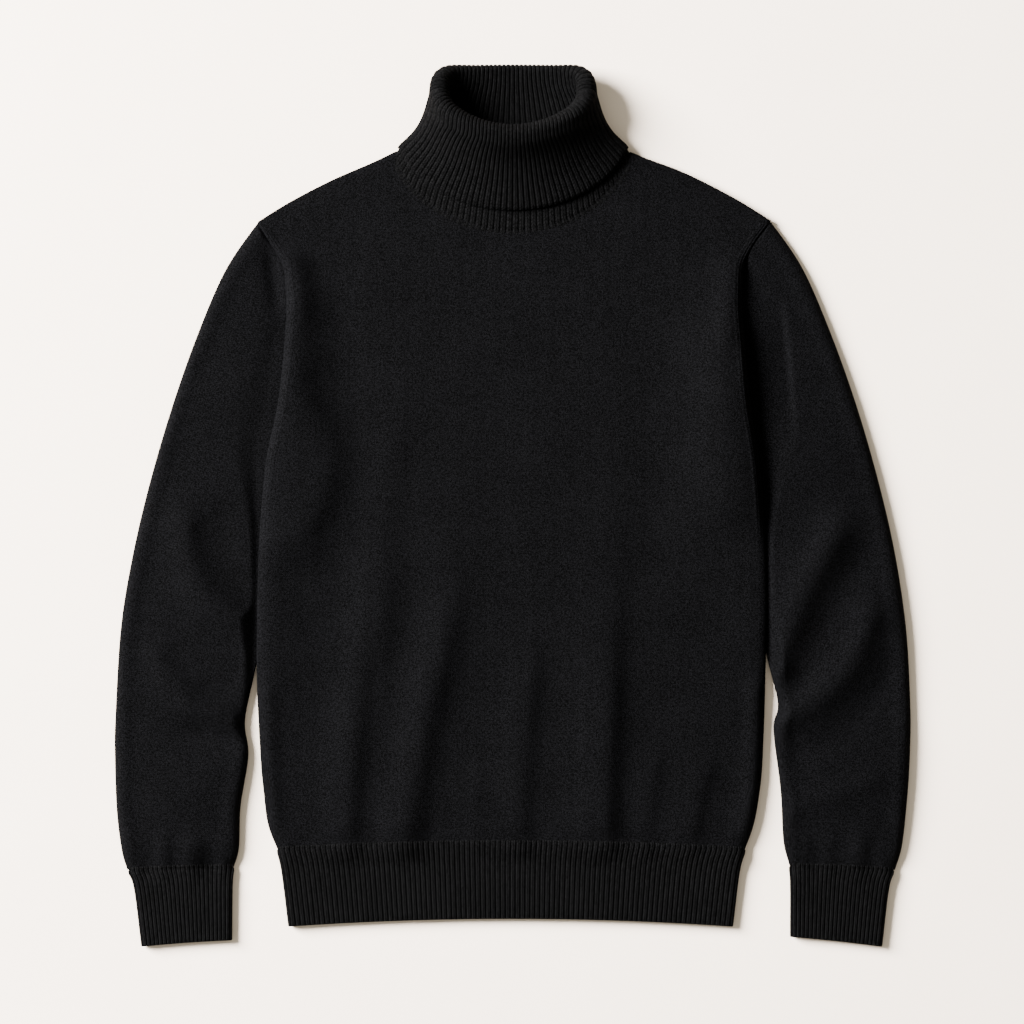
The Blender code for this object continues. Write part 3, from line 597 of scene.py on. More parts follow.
def wool(name, colour, light_fibre, heather, mottle, loops, bump, sheen):
    """Knitted black wool.

    heather is the contrast of the fibres, mottle that of whole loops, and loops holds one
    stitch's sizes.
    """
    material, shader = matt_material(name, roughness=0.86, specular=0.012)
    shader.inputs["Sheen Weight"].default_value = sheen
    shader.inputs["Sheen Roughness"].default_value = 0.45
    shader.inputs["Sheen Tint"].default_value = (0.72, 0.76, 0.88, 1.0)
    tree = material.node_tree
    stitches = stitch_node(tree, loops)
    place = turned_place(tree)

    fibre = centred_noise(tree, place, FIBRE_CELLS, 2.0, heather, MIDDLE_BLEND)
    patch = centred_noise(tree, place, PATCH_CELLS, 2.0, PATCH_CONTRAST)
    loop_tone = centred_noise(tree, place, LOOP_CELLS, 1.0, mottle)
    lightness = math_node(tree, "ADD", math_node(tree, "ADD", fibre, patch), loop_tone)
    lightness = math_node(tree, "MULTIPLY_ADD", stitches.outputs["Gap"], -GAP_SHADE, lightness)
    tree.links.new(mix_colours(tree, lightness, colour, light_fibre), shader.inputs["Base Color"])

    fuzz = noise(tree, place, FUZZ_CELLS, 2.0)
    relief = tree.nodes.new("ShaderNodeBump")
    relief.inputs["Strength"].default_value = bump
    relief.inputs["Distance"].default_value = RELIEF_DEPTH
    tree.links.new(math_node(tree, "MULTIPLY_ADD", fuzz, FUZZ_RELIEF, stitches.outputs["Height"]),
                   relief.inputs["Height"])
    tree.links.new(relief.outputs["Normal"], shader.inputs["Normal"])
    return material


# %% The two knits
RIB_LOOP = (4.5 * MM, 2.4 * MM)     # width of a rib and height of a loop on the cloth map
KNIT = wool("plain_knit", colour=(0.00023, 0.00023, 0.00026, 1.0),
            light_fibre=(0.00274, 0.00274, 0.00322, 1.0), heather=3.4, mottle=0.0,
            loops={"Column Width": 1.9 * MM, "Row Height": 1.6 * MM, "Slant": 0.8,
                   "Unevenness": 0.35}, bump=0.8, sheen=0.003)
RIB = wool("rib_knit", colour=(0.0004, 0.0004, 0.00042, 1.0),
           light_fibre=(0.0025, 0.0025, 0.0027, 1.0), heather=3.2, mottle=1.1,
           loops={"Column Width": RIB_LOOP[0], "Row Height": RIB_LOOP[1], "Slant": 0.9,
                  "Unevenness": 0.08}, bump=0.9, sheen=0.003)
print("materials:", KNIT.name, "and", RIB.name)


# %% A piece of plain knit
def knit_piece(name, rows, across, along, close_columns=False):
    """A thin wall of plain knit, inwards from the rows of its outer side."""
    mesh = loft(name, rows, across, along, close_columns=close_columns)
    return give_thickness(add_piece(name, mesh, KNIT), BODY_CLOTH)


# %% [markdown]
# ## Ribs that follow the cloth
#
# A one-by-one rib is a ridge of knit loops next to a narrow sunken groove, over and over.
# The ridges follow whatever surface the rib is knitted into, so Geometry Nodes raise them
# on a finished smooth wall.  Each point of the wall knows how many ribs lie before it, how
# far it is along them, which way is out, and how strong the ribs are there.  The tree
# turns that into a round ridge with a narrow groove and a faint swelling for each loop.


# %% The rib tree
RIB_FULLNESS = 2.6          # exponent of a ridge's section: 2 is a parabola, more is fuller
LOOP_SWELL = 0.05           # how much a ridge swells at each loop
PLAIN_BELOW = 0.12          # where ridges are weaker than this, the cloth is plain knit


def rib_tree():
    """Raises ridges on a wall whose points carry ribs_before, run, outward and strength."""
    tree, ends, out = new_group(
        "raise_ribs", "GeometryNodeTree",
        (("Geometry", "NodeSocketGeometry", None),
         ("Raise", "NodeSocketFloat", RIB_RAISE),
         ("Fullness", "NodeSocketFloat", RIB_FULLNESS),
         ("Loop Height", "NodeSocketFloat", RIB_LOOP[1]),
         ("Loop Swell", "NodeSocketFloat", LOOP_SWELL),
         ("Rib Yarn", "NodeSocketMaterial", None),
         ("Plain Yarn", "NodeSocketMaterial", None)),
        (("Geometry", "NodeSocketGeometry"),))

    def attribute(name, data_type="FLOAT"):
        """One of the marks that the wall's points carry."""
        node = tree.nodes.new("GeometryNodeInputNamedAttribute")
        node.data_type = data_type
        node.inputs["Name"].default_value = name
        return node.outputs["Attribute"]

    within = math_node(tree, "FRACT", attribute("ribs_before"))
    from_top = math_node(tree, "ABSOLUTE", math_node(tree, "MULTIPLY_ADD", within, 2.0, -1.0))
    ridge = math_node(tree, "SUBTRACT", 1.0,
                      math_node(tree, "POWER", from_top, ends.outputs["Fullness"]))
    loops = math_node(tree, "DIVIDE", attribute("run"), ends.outputs["Loop Height"])
    swell = math_node(tree, "SINE", math_node(tree, "MULTIPLY", loops, 2.0 * math.pi))
    swell = math_node(tree, "MULTIPLY_ADD", swell, ends.outputs["Loop Swell"], 1.0)
    rise = math_node(tree, "MULTIPLY", math_node(tree, "MULTIPLY", ridge, swell),
                     math_node(tree, "MULTIPLY", attribute("strength"), ends.outputs["Raise"]))
    push = tree.nodes.new("ShaderNodeVectorMath")
    push.operation = "SCALE"
    tree.links.new(attribute("outward", "FLOAT_VECTOR"), push.inputs[0])
    tree.links.new(rise, push.inputs["Scale"])
    move = tree.nodes.new("GeometryNodeSetPosition")
    tree.links.new(ends.outputs["Geometry"], move.inputs["Geometry"])
    tree.links.new(push.outputs["Vector"], move.inputs["Offset"])
    real = tree.nodes.new("GeometryNodeRealizeInstances")
    tree.links.new(move.outputs["Geometry"], real.inputs["Geometry"])
    dyed = real.outputs["Geometry"]
    plain = math_node(tree, "LESS_THAN", attribute("strength"), PLAIN_BELOW)
    for yarn, where in (("Rib Yarn", True), ("Plain Yarn", plain)):
        dye = tree.nodes.new("GeometryNodeSetMaterial")
        tree.links.new(dyed, dye.inputs["Geometry"])
        tree.links.new(ends.outputs[yarn], dye.inputs["Material"])
        if where is not True:
            tree.links.new(where, dye.inputs["Selection"])
        dyed = dye.outputs["Geometry"]
    tree.links.new(dyed, out.inputs["Geometry"])
    return tree


RIB_TREE = rib_tree()


def set_inputs(modifier, values):
    """Set a Geometry Nodes modifier's inputs by their sockets' identifiers."""
    for item in modifier.node_group.interface.items_tree:
        if item.item_type == "SOCKET" and item.in_out == "INPUT" and item.name in values:
            modifier[item.identifier] = values[item.name]


# %% Raising ribs on a wall
POINT_MARKS = ("ribs_before", "run", "strength", "outward")
POINTS_PER_RIB = 8


def add_marks(mesh, **marks):
    """Store numbers, or directions, on a mesh's points."""
    for name, values in marks.items():
        values = np.asarray(values, dtype=float)
        kind = "FLOAT_VECTOR" if values.shape[-1] == 3 and values.ndim > 2 else "FLOAT"
        layer = mesh.attributes.new(name, kind, "POINT")
        layer.data.foreach_set("vector" if kind == "FLOAT_VECTOR" else "value",
                               values.ravel())


def raise_ribs(piece, values):
    """Run the rib tree on a piece and keep the result as its mesh."""
    ribs = piece.modifiers.new("ribs", "NODES")
    ribs.node_group = RIB_TREE
    set_inputs(ribs, {"Rib Yarn": RIB, "Plain Yarn": KNIT, **values})
    plain_mesh(piece)
    for name in POINT_MARKS:
        piece.data.attributes.remove(piece.data.attributes[name])
    piece.data.shade_smooth()
    return piece


def ribbed_wall(name, rows, run, strength, outward, turn_over=False, **sizes):
    """A closed wall with ribs.  turn_over is for rows that go round it the other way."""
    n_points = len(rows[0])
    before = np.tile(np.arange(n_points) / POINTS_PER_RIB, (len(rows), 1))
    wide = np.tile(np.arange(n_points + 1) * RIB_LOOP[0] / POINTS_PER_RIB, (len(rows) + 1, 1))
    long = np.pad(run, ((0, 1), (0, 1)), mode="edge")
    mesh = loft(name, rows, wide, -long if turn_over else long, close_rows=True,
                close_columns=True)
    if turn_over:
        mesh.flip_normals()
    add_marks(mesh, ribs_before=before, run=run, strength=strength, outward=outward)
    return raise_ribs(add_piece(name, mesh, RIB), sizes)


# %% [markdown]
# ## The neck's rings
#
# The collar is one long ribbed tube.  It rises from the neckline, rolls over and comes
# down again outside itself.  Its shape is a stack of rings from the neckline (level 0) to
# the top of the roll (level 1), each with a pointed front, a squarer back that lies on the
# table, and a height at its front, side and back.  The neckline ring is also the edge of
# the front and back panels, so it comes first.


# %% Rings of the stand
def ring_value(level, name):
    """One size of the stand's ring at a level, or at several levels."""
    levels = column(COLLAR_RINGS, COLLAR_COLUMNS, "level") / MM
    return smooth_at(level, levels, column(COLLAR_RINGS, COLLAR_COLUMNS, name))


def stand_ring(angle, level):
    """Points on the middle of the stand's wall.  Angle 0 is the front, 180 degrees the back."""
    size = {name: ring_value(level, name) for name in COLLAR_COLUMNS[1:]}
    cosine = np.cos(angle)
    ahead = np.maximum(cosine, 0.0)
    behind = np.maximum(-cosine, 0.0)
    square = BACK_SQUARE_LOW + (BACK_SQUARE_TOP - BACK_SQUARE_LOW) * level
    x = size["half_width"] * np.sin(angle) + COLLAR_SHIFT * smooth_step(level, *SHIFT_LEVELS)
    y = (size["y_side"] + (size["y_front"] - size["y_side"]) * ahead**FRONT_POINT
         + (size["y_back"] - size["y_side"]) * behind**square)
    z = (size["z_side"] + (size["z_front"] - size["z_side"]) * ahead**ARCH
         + (size["z_back"] - size["z_side"]) * behind**FLAT)
    z = z + LEFT_LIFT * smooth_step(level, *LIFT_LEVELS) * np.maximum(-np.sin(angle), 0.0)**4
    return np.column_stack((x, y, z))


# %% [markdown]
# ## The front
#
# The front lies on top of everything: over the back, and at the sides over the tucked-in
# edges of the sleeves, where it stands up in a soft roll.  It could be a subdivided plane
# pushed about by hand, but then its edge would not meet the other pieces.  Here its rows
# and columns follow its own outline, and its height is the sum of the rounded edges, the
# roll along the armholes, the folds that fall into the hem and the gathers right above it.

# %% Folds of the front
FRONT_FOLDS = (
    (-122.0, -96.0, -149.0, -306.0, 6.0, 20.0, 5.8, 44.0, 50.0),    # long folds to the hem
    (-64.5, -130.0, -98.0, -306.0, 3.0, 19.5, 7.0, 60.0, 170.0),
    (16.0, -160.0, 6.0, -306.0, 3.0, 16.0, 3.8, 34.0, 330.0),
    (86.0, -190.0, 83.3, -306.0, 1.5, 22.0, 6.3, 110.0, 400.0),
    (-126.0, -120.0, -134.0, -306.0, 0.0, 9.0, -1.3, 36.0, 0.0),
    (128.0, -234.0, 118.0, -306.0, 0.0, 11.0, 1.8, 15.0, 300.0),    # short ones at the hem
    (173.0, -240.0, 158.0, -306.0, 1.0, 13.0, 2.6, 14.0, 300.0),
    (-30.0, -245.0, -33.0, -306.0, 0.0, 9.0, 1.3, 14.0, 200.0),
    (-200.0, 110.0, -190.0, -26.0, -25.0, 26.0, 6.4, 28.0, 220.0),  # swell beside the left arm
    (-152.0, 150.0, -154.0, -60.0, -16.0, 17.0, -0.9, 46.0, 0.0),
    (-105.0, 60.0, -116.0, -30.0, 0.0, 15.0, 1.3, 34.0, 200.0),
    (118.0, 60.0, 128.0, -60.0, 0.0, 22.0, -0.9, 40.0, 0.0),
    (197.0, 212.0, 194.0, 158.0, 0.0, 13.0, 5.0, 15.0, 100.0),      # rise beside the right arm
    (193.0, 128.0, 195.0, 14.0, 3.0, 37.0, 10.8, 36.0, 0.0),
)
GATHER_COLUMNS = ("x", "half_width", "lift")
GATHERS = (
    (-201.0, 5.0, 0.9), (-184.0, 6.0, -0.8), (-172.0, 5.0, 0.6), (-122.0, 6.0, -0.8),
    (-111.0, 5.0, 0.5), (-74.0, 5.5, -0.7), (-62.0, 5.0, 0.6), (-46.0, 5.0, -0.5),
    (-12.0, 6.0, 0.5), (28.0, 6.0, -0.5), (40.0, 5.0, 0.5), (52.0, 6.0, -0.4),
    (66.0, 5.0, 0.5), (104.0, 5.0, -0.5), (136.0, 6.0, -0.6), (147.0, 5.0, 0.5),
    (180.0, 6.0, -0.6), (196.0, 6.0, 0.8),
)
GATHER_REACH = 26.0 * MM    # how far up from the hem a gather runs
GATHER_START = 5.0 * MM     # over which it rises from the seam
EDGE_COLUMNS = ("inset", "reach", "lift", "y_low", "y_high", "fade")
EDGE_ROLLS = {
    "left": ((11.0, 13.0, 6.2, 160.0, 240.0, 44.0), (11.0, 27.0, 5.2, -165.0, 212.0, 70.0),
             (46.0, 17.0, -0.6, 100.0, 238.0, 60.0), (9.0, 9.0, 2.4, -300.0, -150.0, 40.0)),
    "right": ((14.0, 34.0, 2.6, -165.0, 222.0, 60.0), (9.0, 9.0, 3.2, -300.0, -150.0, 40.0)),
}
RIPPLE_HEIGHT = 0.35 * MM
RIPPLE_LENGTH = 62.0 * MM


# %% Outline of the body
def side_at(y, name):
    """Left or right edge of the front, or its height there, at a distance along the body."""
    rising = columns(SIDES[::-1], SIDE_COLUMNS)
    return smooth_at(y, rising["y"], rising[name])


def side_inset(x, y):
    """How far a place on the body lies in from the nearer side edge."""
    return np.minimum(side_at(y, "right") - x, x - side_at(y, "left"))


def tuck_at(y):
    """How far the sleeve reaches in under the front's edge, above the underarm."""
    reach = columns(TUCK, TUCK_COLUMNS)
    return smooth_at(y, reach["y"], reach["tuck"])


def shoulder_at(x):
    """Where the shoulder seam, carried on to the middle, passes."""
    start, full, by = RIGHT_SHOULDER
    seam = columns(SHOULDER, SHOULDER_COLUMNS)
    return smooth_at(np.abs(x), seam["x"], seam["y"]) + by * smooth_step(x, start, full)


def hem_seam_at(x):
    """Where the body ends at the hem."""
    share = np.clip(np.abs(x) / HALF_HEM, 0.0, 1.0)
    return HEM_LINE - HEM_LINE_DROP * share**2


def neckline(angle, is_front):
    """Plan points of a panel's neck edge.  Angle 0 is its middle, 90 degrees the shoulder."""
    ring = stand_ring(angle if is_front else math.pi - angle, 0.0)
    tuck = NECK_TUCK + NECK_TUCK_SIDE * np.sin(angle)**2
    return ring[:, 0] - tuck * np.sin(angle), ring[:, 1] + tuck * np.cos(angle)


# %% Lines of loops that follow the armhole
FASHION_PITCH = 2.7 * MM    # from one line to the next
FASHION_START = 0.6 * MM    # inset at which the first one begins
FASHION_RAISE = 0.72 * MM   # how far a line stands up
FASHION_LINES = 3
FASHION_FADE = (-60.0 * MM, 30.0 * MM)      # they come in between these places up the body


def fashion_lines(inset, y):
    """Ridges of the edge loops, which run side by side along the armhole."""
    waves = np.abs(np.sin(math.pi * (inset - FASHION_START) / FASHION_PITCH))**1.3
    fade = 1.0 - smooth_step(inset, (FASHION_LINES - 0.5) * FASHION_PITCH,
                             (FASHION_LINES + 0.4) * FASHION_PITCH)
    return FASHION_RAISE * waves * fade * smooth_step(y, *FASHION_FADE)


# %% Height of the front
def edge_lift(inset, y, side):
    """Ridges and troughs that run along a side edge, at fixed distances inside it."""
    lift = np.zeros(np.shape(inset))
    for at in named_rows(EDGE_ROLLS[side], EDGE_COLUMNS):
        share = smooth_step(y, at["y_low"] - at["fade"], at["y_low"] + at["fade"])
        share = share * (1.0 - smooth_step(y, at["y_high"] - at["fade"] / 2.0, at["y_high"]))
        lift += at["lift"] * share * np.exp(-((inset - at["inset"]) / at["reach"])**2)
    return lift


def gather_lift(x, above_hem):
    """Small puckers where the wide knit is drawn in by the rib."""
    lift = np.zeros(np.shape(x))
    for at in named_rows(GATHERS, GATHER_COLUMNS):
        lift += at["lift"] * np.exp(-((x - at["x"]) / at["half_width"])**2)
    share = np.clip(above_hem / GATHER_REACH, 0.0, 1.0)
    return lift * (1.0 - share)**1.5 * smooth_step(above_hem, 0.0, GATHER_START)


def front_height(x, y, inset):
    """Height of the front's upper side."""
    crown = FRONT_CROWN * np.cos(np.clip(x / HALF_BODY, -1.0, 1.0) * math.pi / 2.0)
    relief = BODY_HEIGHT + crown + fold_lift(x, y, FRONT_FOLDS)
    relief = relief + np.where(x < 0.0, edge_lift(inset, y, "left"),
                               edge_lift(inset, y, "right"))
    relief = relief + RIPPLE_HEIGHT * ripple(x, y, RIPPLE_LENGTH, seed=4)
    above_hem = y - hem_seam_at(x)
    slack = SEAM_SHARE + (1.0 - SEAM_SHARE) * smooth_step(above_hem, 0.0, SEAM_PULL)
    relief = relief * slack + HEM_SEAM_HEIGHT * (1.0 - slack)
    relief = relief + gather_lift(x, above_hem) + fashion_lines(inset, y)
    rim = side_at(y, "rim") - RIM_DROP
    over_shoulder = quarter_round((shoulder_at(x) - y) * SHOULDER_SLOPE, SHOULDER_ROLL)
    reach = np.where(x < 0.0, side_at(y, "round_left"), side_at(y, "round_right"))
    return rim + (relief - rim) * quarter_round(inset, reach) * over_shoulder


# %% Rows and columns of a body panel
def body_edge(y, side, is_front):
    """Side edge of a panel.  The back's is drawn in where the sleeve lies beside it."""
    edge = np.abs(side_at(y, side))
    if is_front:
        return edge
    rising = columns(SLEEVES[side][::-1], SLEEVE_COLUMNS)
    beside = smooth_at(y, rising["inner_y"], np.abs(rising["inner_x"]))
    sleeve_side = np.where(y > rising["inner_y"][-1], edge - tuck_at(y), beside)
    return np.minimum(edge, sleeve_side - SLEEVE_ROOM)


def rolled_insets(roll, count):
    """Insets that divide a rounded edge into equal turns."""
    return roll * (1.0 - np.cos(np.linspace(0.0, math.pi / 2.0, count + 1)[:-1]))


def half_grid(side, is_front, roll, rolled, top_insets, neck, shares):
    """Half of a body panel, from its side edge to the middle: x, y and inset of each row."""
    edge_top = body_edge(SHOULDER_POINT, side, is_front)
    top_x = np.concatenate((edge_top - top_insets, neck[0]))
    seam_y = shoulder_at(SIDE_SIGNS[side] * (edge_top - top_insets))
    top_y = np.concatenate((seam_y, neck[1]))
    low_y = hem_seam_at(top_x)
    main_top = top_y - roll / SHOULDER_SLOPE
    rows_y = [low_y + share * (main_top - low_y) for share in shares]
    rows_y += [top_y - step / SHOULDER_SLOPE for step in rolled[::-1]]
    half = []
    for y in rows_y:
        edge = body_edge(np.minimum(y, SHOULDER_POINT), side, is_front)
        narrowing = 1.0 - (edge - roll) / (edge_top - roll)
        share_out = np.minimum(top_x / (edge_top - roll), 1.0)
        x = np.where(top_x > edge_top - roll, edge - (edge_top - top_x),
                     top_x * (1.0 - narrowing * share_out**2))
        half.append((SIDE_SIGNS[side] * x, y, edge - x))
    return np.array(half).transpose(1, 0, 2)


def body_grid(is_front, shares, roll, panel_end, edge_steps, panel_steps, neck_steps):
    """Plan grid of a body panel: x, y and the inset from the nearer side edge.

    Its columns divide the rounded edge, then the shoulder up to panel_end from the edge,
    and then the neckline.  shares are its rows, from the hem to the shoulder's roll.
    """
    rolled = rolled_insets(roll, edge_steps)
    top_insets = np.concatenate((rolled, np.linspace(roll, panel_end, panel_steps)))
    neck = neckline(np.linspace(math.pi / 2.0, 0.0, neck_steps + 1), is_front)
    left, right = (half_grid(side, is_front, roll, rolled, top_insets, neck, shares)
                   for side in SIDE_SIGNS)
    return np.concatenate((left, right[:, :, -2::-1]), axis=2)


# %% Make the front
FRONT_GRID = {"roll": SIDE_ROLL, "panel_end": 122.0 * MM, "edge_steps": 20,
              "panel_steps": 38, "neck_steps": 36}
NEAR_HEM = 0.05             # share of the front's length where its rows lie closer


def front_piece():
    """The front as one thin wall, with closer rows where the gathers are."""
    near_hem = np.linspace(0.0, NEAR_HEM, 22)[:-1]
    shares = np.concatenate((near_hem, np.linspace(NEAR_HEM, 1.0, 168)))
    x, y, inset = body_grid(True, shares, **FRONT_GRID)
    return knit_piece("front_knit", np.dstack((x, y, front_height(x, y, inset))), x, y)


FRONT = front_piece()
print("front:", triangles(FRONT), "triangles")

# %% [markdown]
# ## The back
#
# The back lies on the table and hardly shows.  Its underside is flat, and its edges turn
# up to meet the front at the sides and the shoulders.


# %% Make the back
def back_height(x, y, inset):
    """Height of the back's underside: 0, and turned up where it meets the front."""
    flat_share = (quarter_round(inset, BACK_CURL)
                  * quarter_round((shoulder_at(x) - y) * SHOULDER_SLOPE, BACK_CURL))
    above_sleeve = smooth_step(y, SHOULDER_POINT, SHOULDER_POINT + BACK_RIM_RISE)
    beside_sleeve = smooth_step(y, COVER_START, COVER_FULL) * (1.0 - above_sleeve)
    return BACK_RIM * (1.0 - beside_sleeve) * (1.0 - flat_share)


BACK_GRID = {"roll": BACK_CURL, "panel_end": 120.0 * MM, "edge_steps": 8,
             "panel_steps": 17, "neck_steps": 20}


def back_piece():
    """The back as one thin wall, outer side down."""
    x, y, inset = body_grid(False, np.linspace(0.0, 1.0, 70), **BACK_GRID)
    sheet = np.dstack((x, y, back_height(x, y, inset)))
    return knit_piece("back_knit", sheet[:, ::-1], x[:, ::-1], y[:, ::-1])


BACK = back_piece()
print("back:", triangles(BACK), "triangles")

# %% [markdown]
# ## The sleeves
#
# A sleeve is a tapered tube that lies pressed down: flat below, softly crowned above.  Its
# upper end is tucked in under the front's edge, so it is kept low there and rises out from
# under it.  The folds at the elbow run down and inwards from the outer side, and small
# puckers sit above the cuff, where the rib draws the tube in.

# %% Folds of the sleeves
SLEEVE_FOLDS = {
    "left": (
        (-216.0, 216.0, -212.0, 184.0, 0.0, 8.0, -4.4, 16.0, 0.0),      # hollow beside the seam
        (-293.0, -20.0, -236.0, -108.0, 17.0, 16.5, 6.2, 20.0, 150.0),  # folds of the elbow
        (-258.0, -14.0, -236.0, -84.0, 8.0, 13.0, -2.0, 20.0, 0.0),
        (-318.0, -138.0, -262.0, -182.0, 10.0, 14.0, 4.6, 18.0, 100.0),
        (-272.0, -168.0, -238.0, -184.0, 0.0, 9.0, -2.6, 12.0, 0.0),
        (-290.0, -186.0, -238.0, -200.0, 0.0, 10.0, 2.4, 16.0, 0.0),
        (-282.0, -206.0, -238.0, -216.0, 0.0, 9.0, -2.0, 16.0, 0.0),
        (-338.0, -236.0, -286.0, -262.0, 6.0, 14.0, 1.4, 24.0, 0.0),
        (-289.0, -308.0, -289.0, -330.0, 0.0, 12.0, 3.8, 10.0, 0.0),    # gathers at the cuff
        (-313.0, -306.0, -313.5, -330.0, 0.0, 8.0, 2.4, 12.0, 0.0),
        (-262.0, -306.0, -262.0, -326.0, 0.0, 6.0, 1.1, 10.0, 0.0),
    ),
    "right": (
        (290.0, -28.0, 238.0, -140.0, 4.0, 15.0, 6.2, 20.0, 0.0),       # folds of the elbow
        (311.0, -56.0, 262.0, -152.0, 2.0, 13.0, -1.8, 20.0, 0.0),
        (320.0, -102.0, 238.0, -194.0, -16.0, 14.5, 6.2, 18.0, 0.0),
        (339.0, -146.0, 262.0, -222.0, -12.0, 13.0, -1.8, 22.0, 0.0),
        (314.0, -252.0, 254.0, -272.0, 0.0, 12.0, 2.6, 22.0, 0.0),
        (312.0, -302.0, 310.0, -326.0, 0.0, 9.0, 2.4, 12.0, 0.0),       # gathers at the cuff
        (284.0, -304.0, 284.0, -326.0, 0.0, 7.0, 1.2, 10.0, 0.0),
        (264.0, -304.0, 264.0, -326.0, 0.0, 6.0, 1.0, 10.0, 0.0),
        (332.0, -304.0, 331.0, -326.0, 0.0, 6.0, 1.0, 9.0, 0.0),
    ),
}
CUFF_LINE = (-333.0 * MM, -321.0 * MM)  # folds end here, and are whole above


# %% Height of a sleeve
def sleeve_lid(x, y, side):
    """Highest that a sleeve may reach where it lies under the front's edge."""
    outside = SIDE_SIGNS[side] * (x - side_at(y, side))
    lid = columns(LIDS[side], LID_COLUMNS)
    margin = smooth_at(y, lid["y"], lid["margin"])
    slope = smooth_at(y, lid["y"], lid["slope"])
    rise = slope * np.maximum(outside - margin, 0.0)
    rise = rise + np.maximum(outside - LID_END, 0.0)
    return side_at(y, "rim") - TUCK_CLEARANCE + rise


def sleeve_top(x, y, share, width, height, side):
    """Height of a sleeve's upper side: a low crown between two thicker, rounded edges."""
    inset = width * np.minimum(share, 1.0 - share)
    bead_inset, bead_reach, bead_lift = SLEEVE_BEAD
    crown = height - SLEEVE_FALL * (2.0 * share - 1.0)**2
    crown = crown + bead_lift * np.exp(-((inset - bead_inset) / bead_reach)**2)
    soft = fold_lift(x, y, SLEEVE_FOLDS[side])
    soft = soft + RIPPLE_HEIGHT * ripple(x, y, RIPPLE_LENGTH, seed=9)
    soft = soft * smooth_step(y, *CUFF_LINE)
    crown = crown + soft * smooth_step(inset, 0.0, 2.0 * SLEEVE_ROUND)
    top = SLEEVE_EDGE + (crown - SLEEVE_EDGE) * quarter_round(inset, SLEEVE_ROUND)
    covered = smooth_step(y, COVER_START, COVER_FULL)
    pressed = soft_minimum(top, sleeve_lid(x, y, side), TUCK_BEND)
    return np.where(covered > 0.0, covered * pressed + (1.0 - covered) * top, top)


# %% Rings of a sleeve
SLEEVE_RINGS = 190
SLEEVE_ACROSS = 72          # steps across its upper side,
SLEEVE_UNDER = 10           # points across its flat lower side
SLEEVE_TURNS = 5            # and points round each lower corner


def across_sleeve(at, share):
    """Plan points on the line from a sleeve's outer edge to its inner one."""
    return (at["outer_x"] + (at["inner_x"] - at["outer_x"]) * share,
            at["outer_y"] + (at["inner_y"] - at["outer_y"]) * share)


def armhole_bow(share, side):
    """How far the armhole line, tucked in under the front, bows off its straight chord."""
    chord, y = across_sleeve(row_at(0.0, SLEEVES[side], SLEEVE_COLUMNS), share)
    return (side_at(y, side) - SIDE_SIGNS[side] * tuck_at(y)) - chord


def sleeve_ring(place, side):
    """One ring: the crowned upper side, and below it a flat side between two corners."""
    at = row_at(place, SLEEVES[side], SLEEVE_COLUMNS)
    width = math.hypot(at["inner_x"] - at["outer_x"], at["inner_y"] - at["outer_y"])
    foot = SLEEVE_FOOT / width
    turn = np.linspace(0.0, math.pi / 2.0, SLEEVE_TURNS)[1:]
    curl = foot * (1.0 - np.cos(turn))
    upper = (1.0 - np.cos(np.linspace(0.0, math.pi, SLEEVE_ACROSS + 1))) / 2.0
    under = np.linspace(1.0 - foot, foot, SLEEVE_UNDER)[1:-1]
    share = np.concatenate((upper, 1.0 - curl, under, curl[::-1]))
    x, y = across_sleeve(at, share)
    curved = smooth_step(ARMHOLE_STATIONS - place, 0.0, ARMHOLE_STATIONS)
    x = x + armhole_bow(share, side) * curved
    z = sleeve_top(x, y, share, width, at["height"], side)
    low = SLEEVE_EDGE * (1.0 - np.sin(turn))
    z[len(upper):] = np.concatenate((low, np.zeros(len(under)), low[::-1]))
    return np.column_stack((x, y, z))


def sleeve_piece(side):
    """A sleeve as a thin-walled tube, with the cloth map measured round and along it."""
    places = np.linspace(0.0, len(SLEEVES[side]) - 1.0, SLEEVE_RINGS)
    rings = np.array([sleeve_ring(place, side) for place in places])
    lengths = np.linalg.norm(np.diff(rings, axis=1, append=rings[:, :1]), axis=2)
    across = np.array([running_total(around) for around in lengths])
    middle = rings[:, (SLEEVE_ACROSS + 1) // 2]
    down = running_total(np.linalg.norm(np.diff(middle, axis=0), axis=1))
    along = np.repeat(-down[:, None], across.shape[1], axis=1)
    if side == "left":
        rings, across, along = rings[:, ::-1], across[:, ::-1], along[:, ::-1]
    return knit_piece(f"sleeve_{side}_knit", rings, across, along, close_columns=True)


def cuff_cover(x, y, side):
    """Height of a sleeve's upper side near the cuff, at plan points."""
    ends = {name: values[-2:] for name, values in columns(SLEEVES[side], SLEEVE_COLUMNS).items()}
    share = (x - ends["outer_x"][1]) / (ends["inner_x"][1] - ends["outer_x"][1])
    line_y = ends["outer_y"] + (ends["inner_y"] - ends["outer_y"]) * share[:, None]
    back = (y - line_y[:, 1]) / (line_y[:, 0] - line_y[:, 1])
    at = {key: ends[key][1] + (ends[key][0] - ends[key][1]) * back for key in ends}
    width = np.abs(at["inner_x"] - at["outer_x"])
    share = np.clip((x - at["outer_x"]) / (at["inner_x"] - at["outer_x"]), 0.0, 1.0)
    return sleeve_top(x, y, share, width, at["height"], side)


# %% Make the sleeves
SLEEVE_L = sleeve_piece("left")
SLEEVE_R = sleeve_piece("right")
print("sleeves:", triangles(SLEEVE_L), "and", triangles(SLEEVE_R), "triangles")

# %% [markdown]
# ## Hem and cuffs
#
# These are flattened tubes of rib.  The rib is elastic, so it draws the wide knit in, and
# its ridges lean inwards with the sides.  A smooth closed wall is made first, with the
# rib's count of ridges marked round it, and the rib tree raises them.  The ridges are full
# on the upper side and shallow underneath, where the band lies pressed on the table.

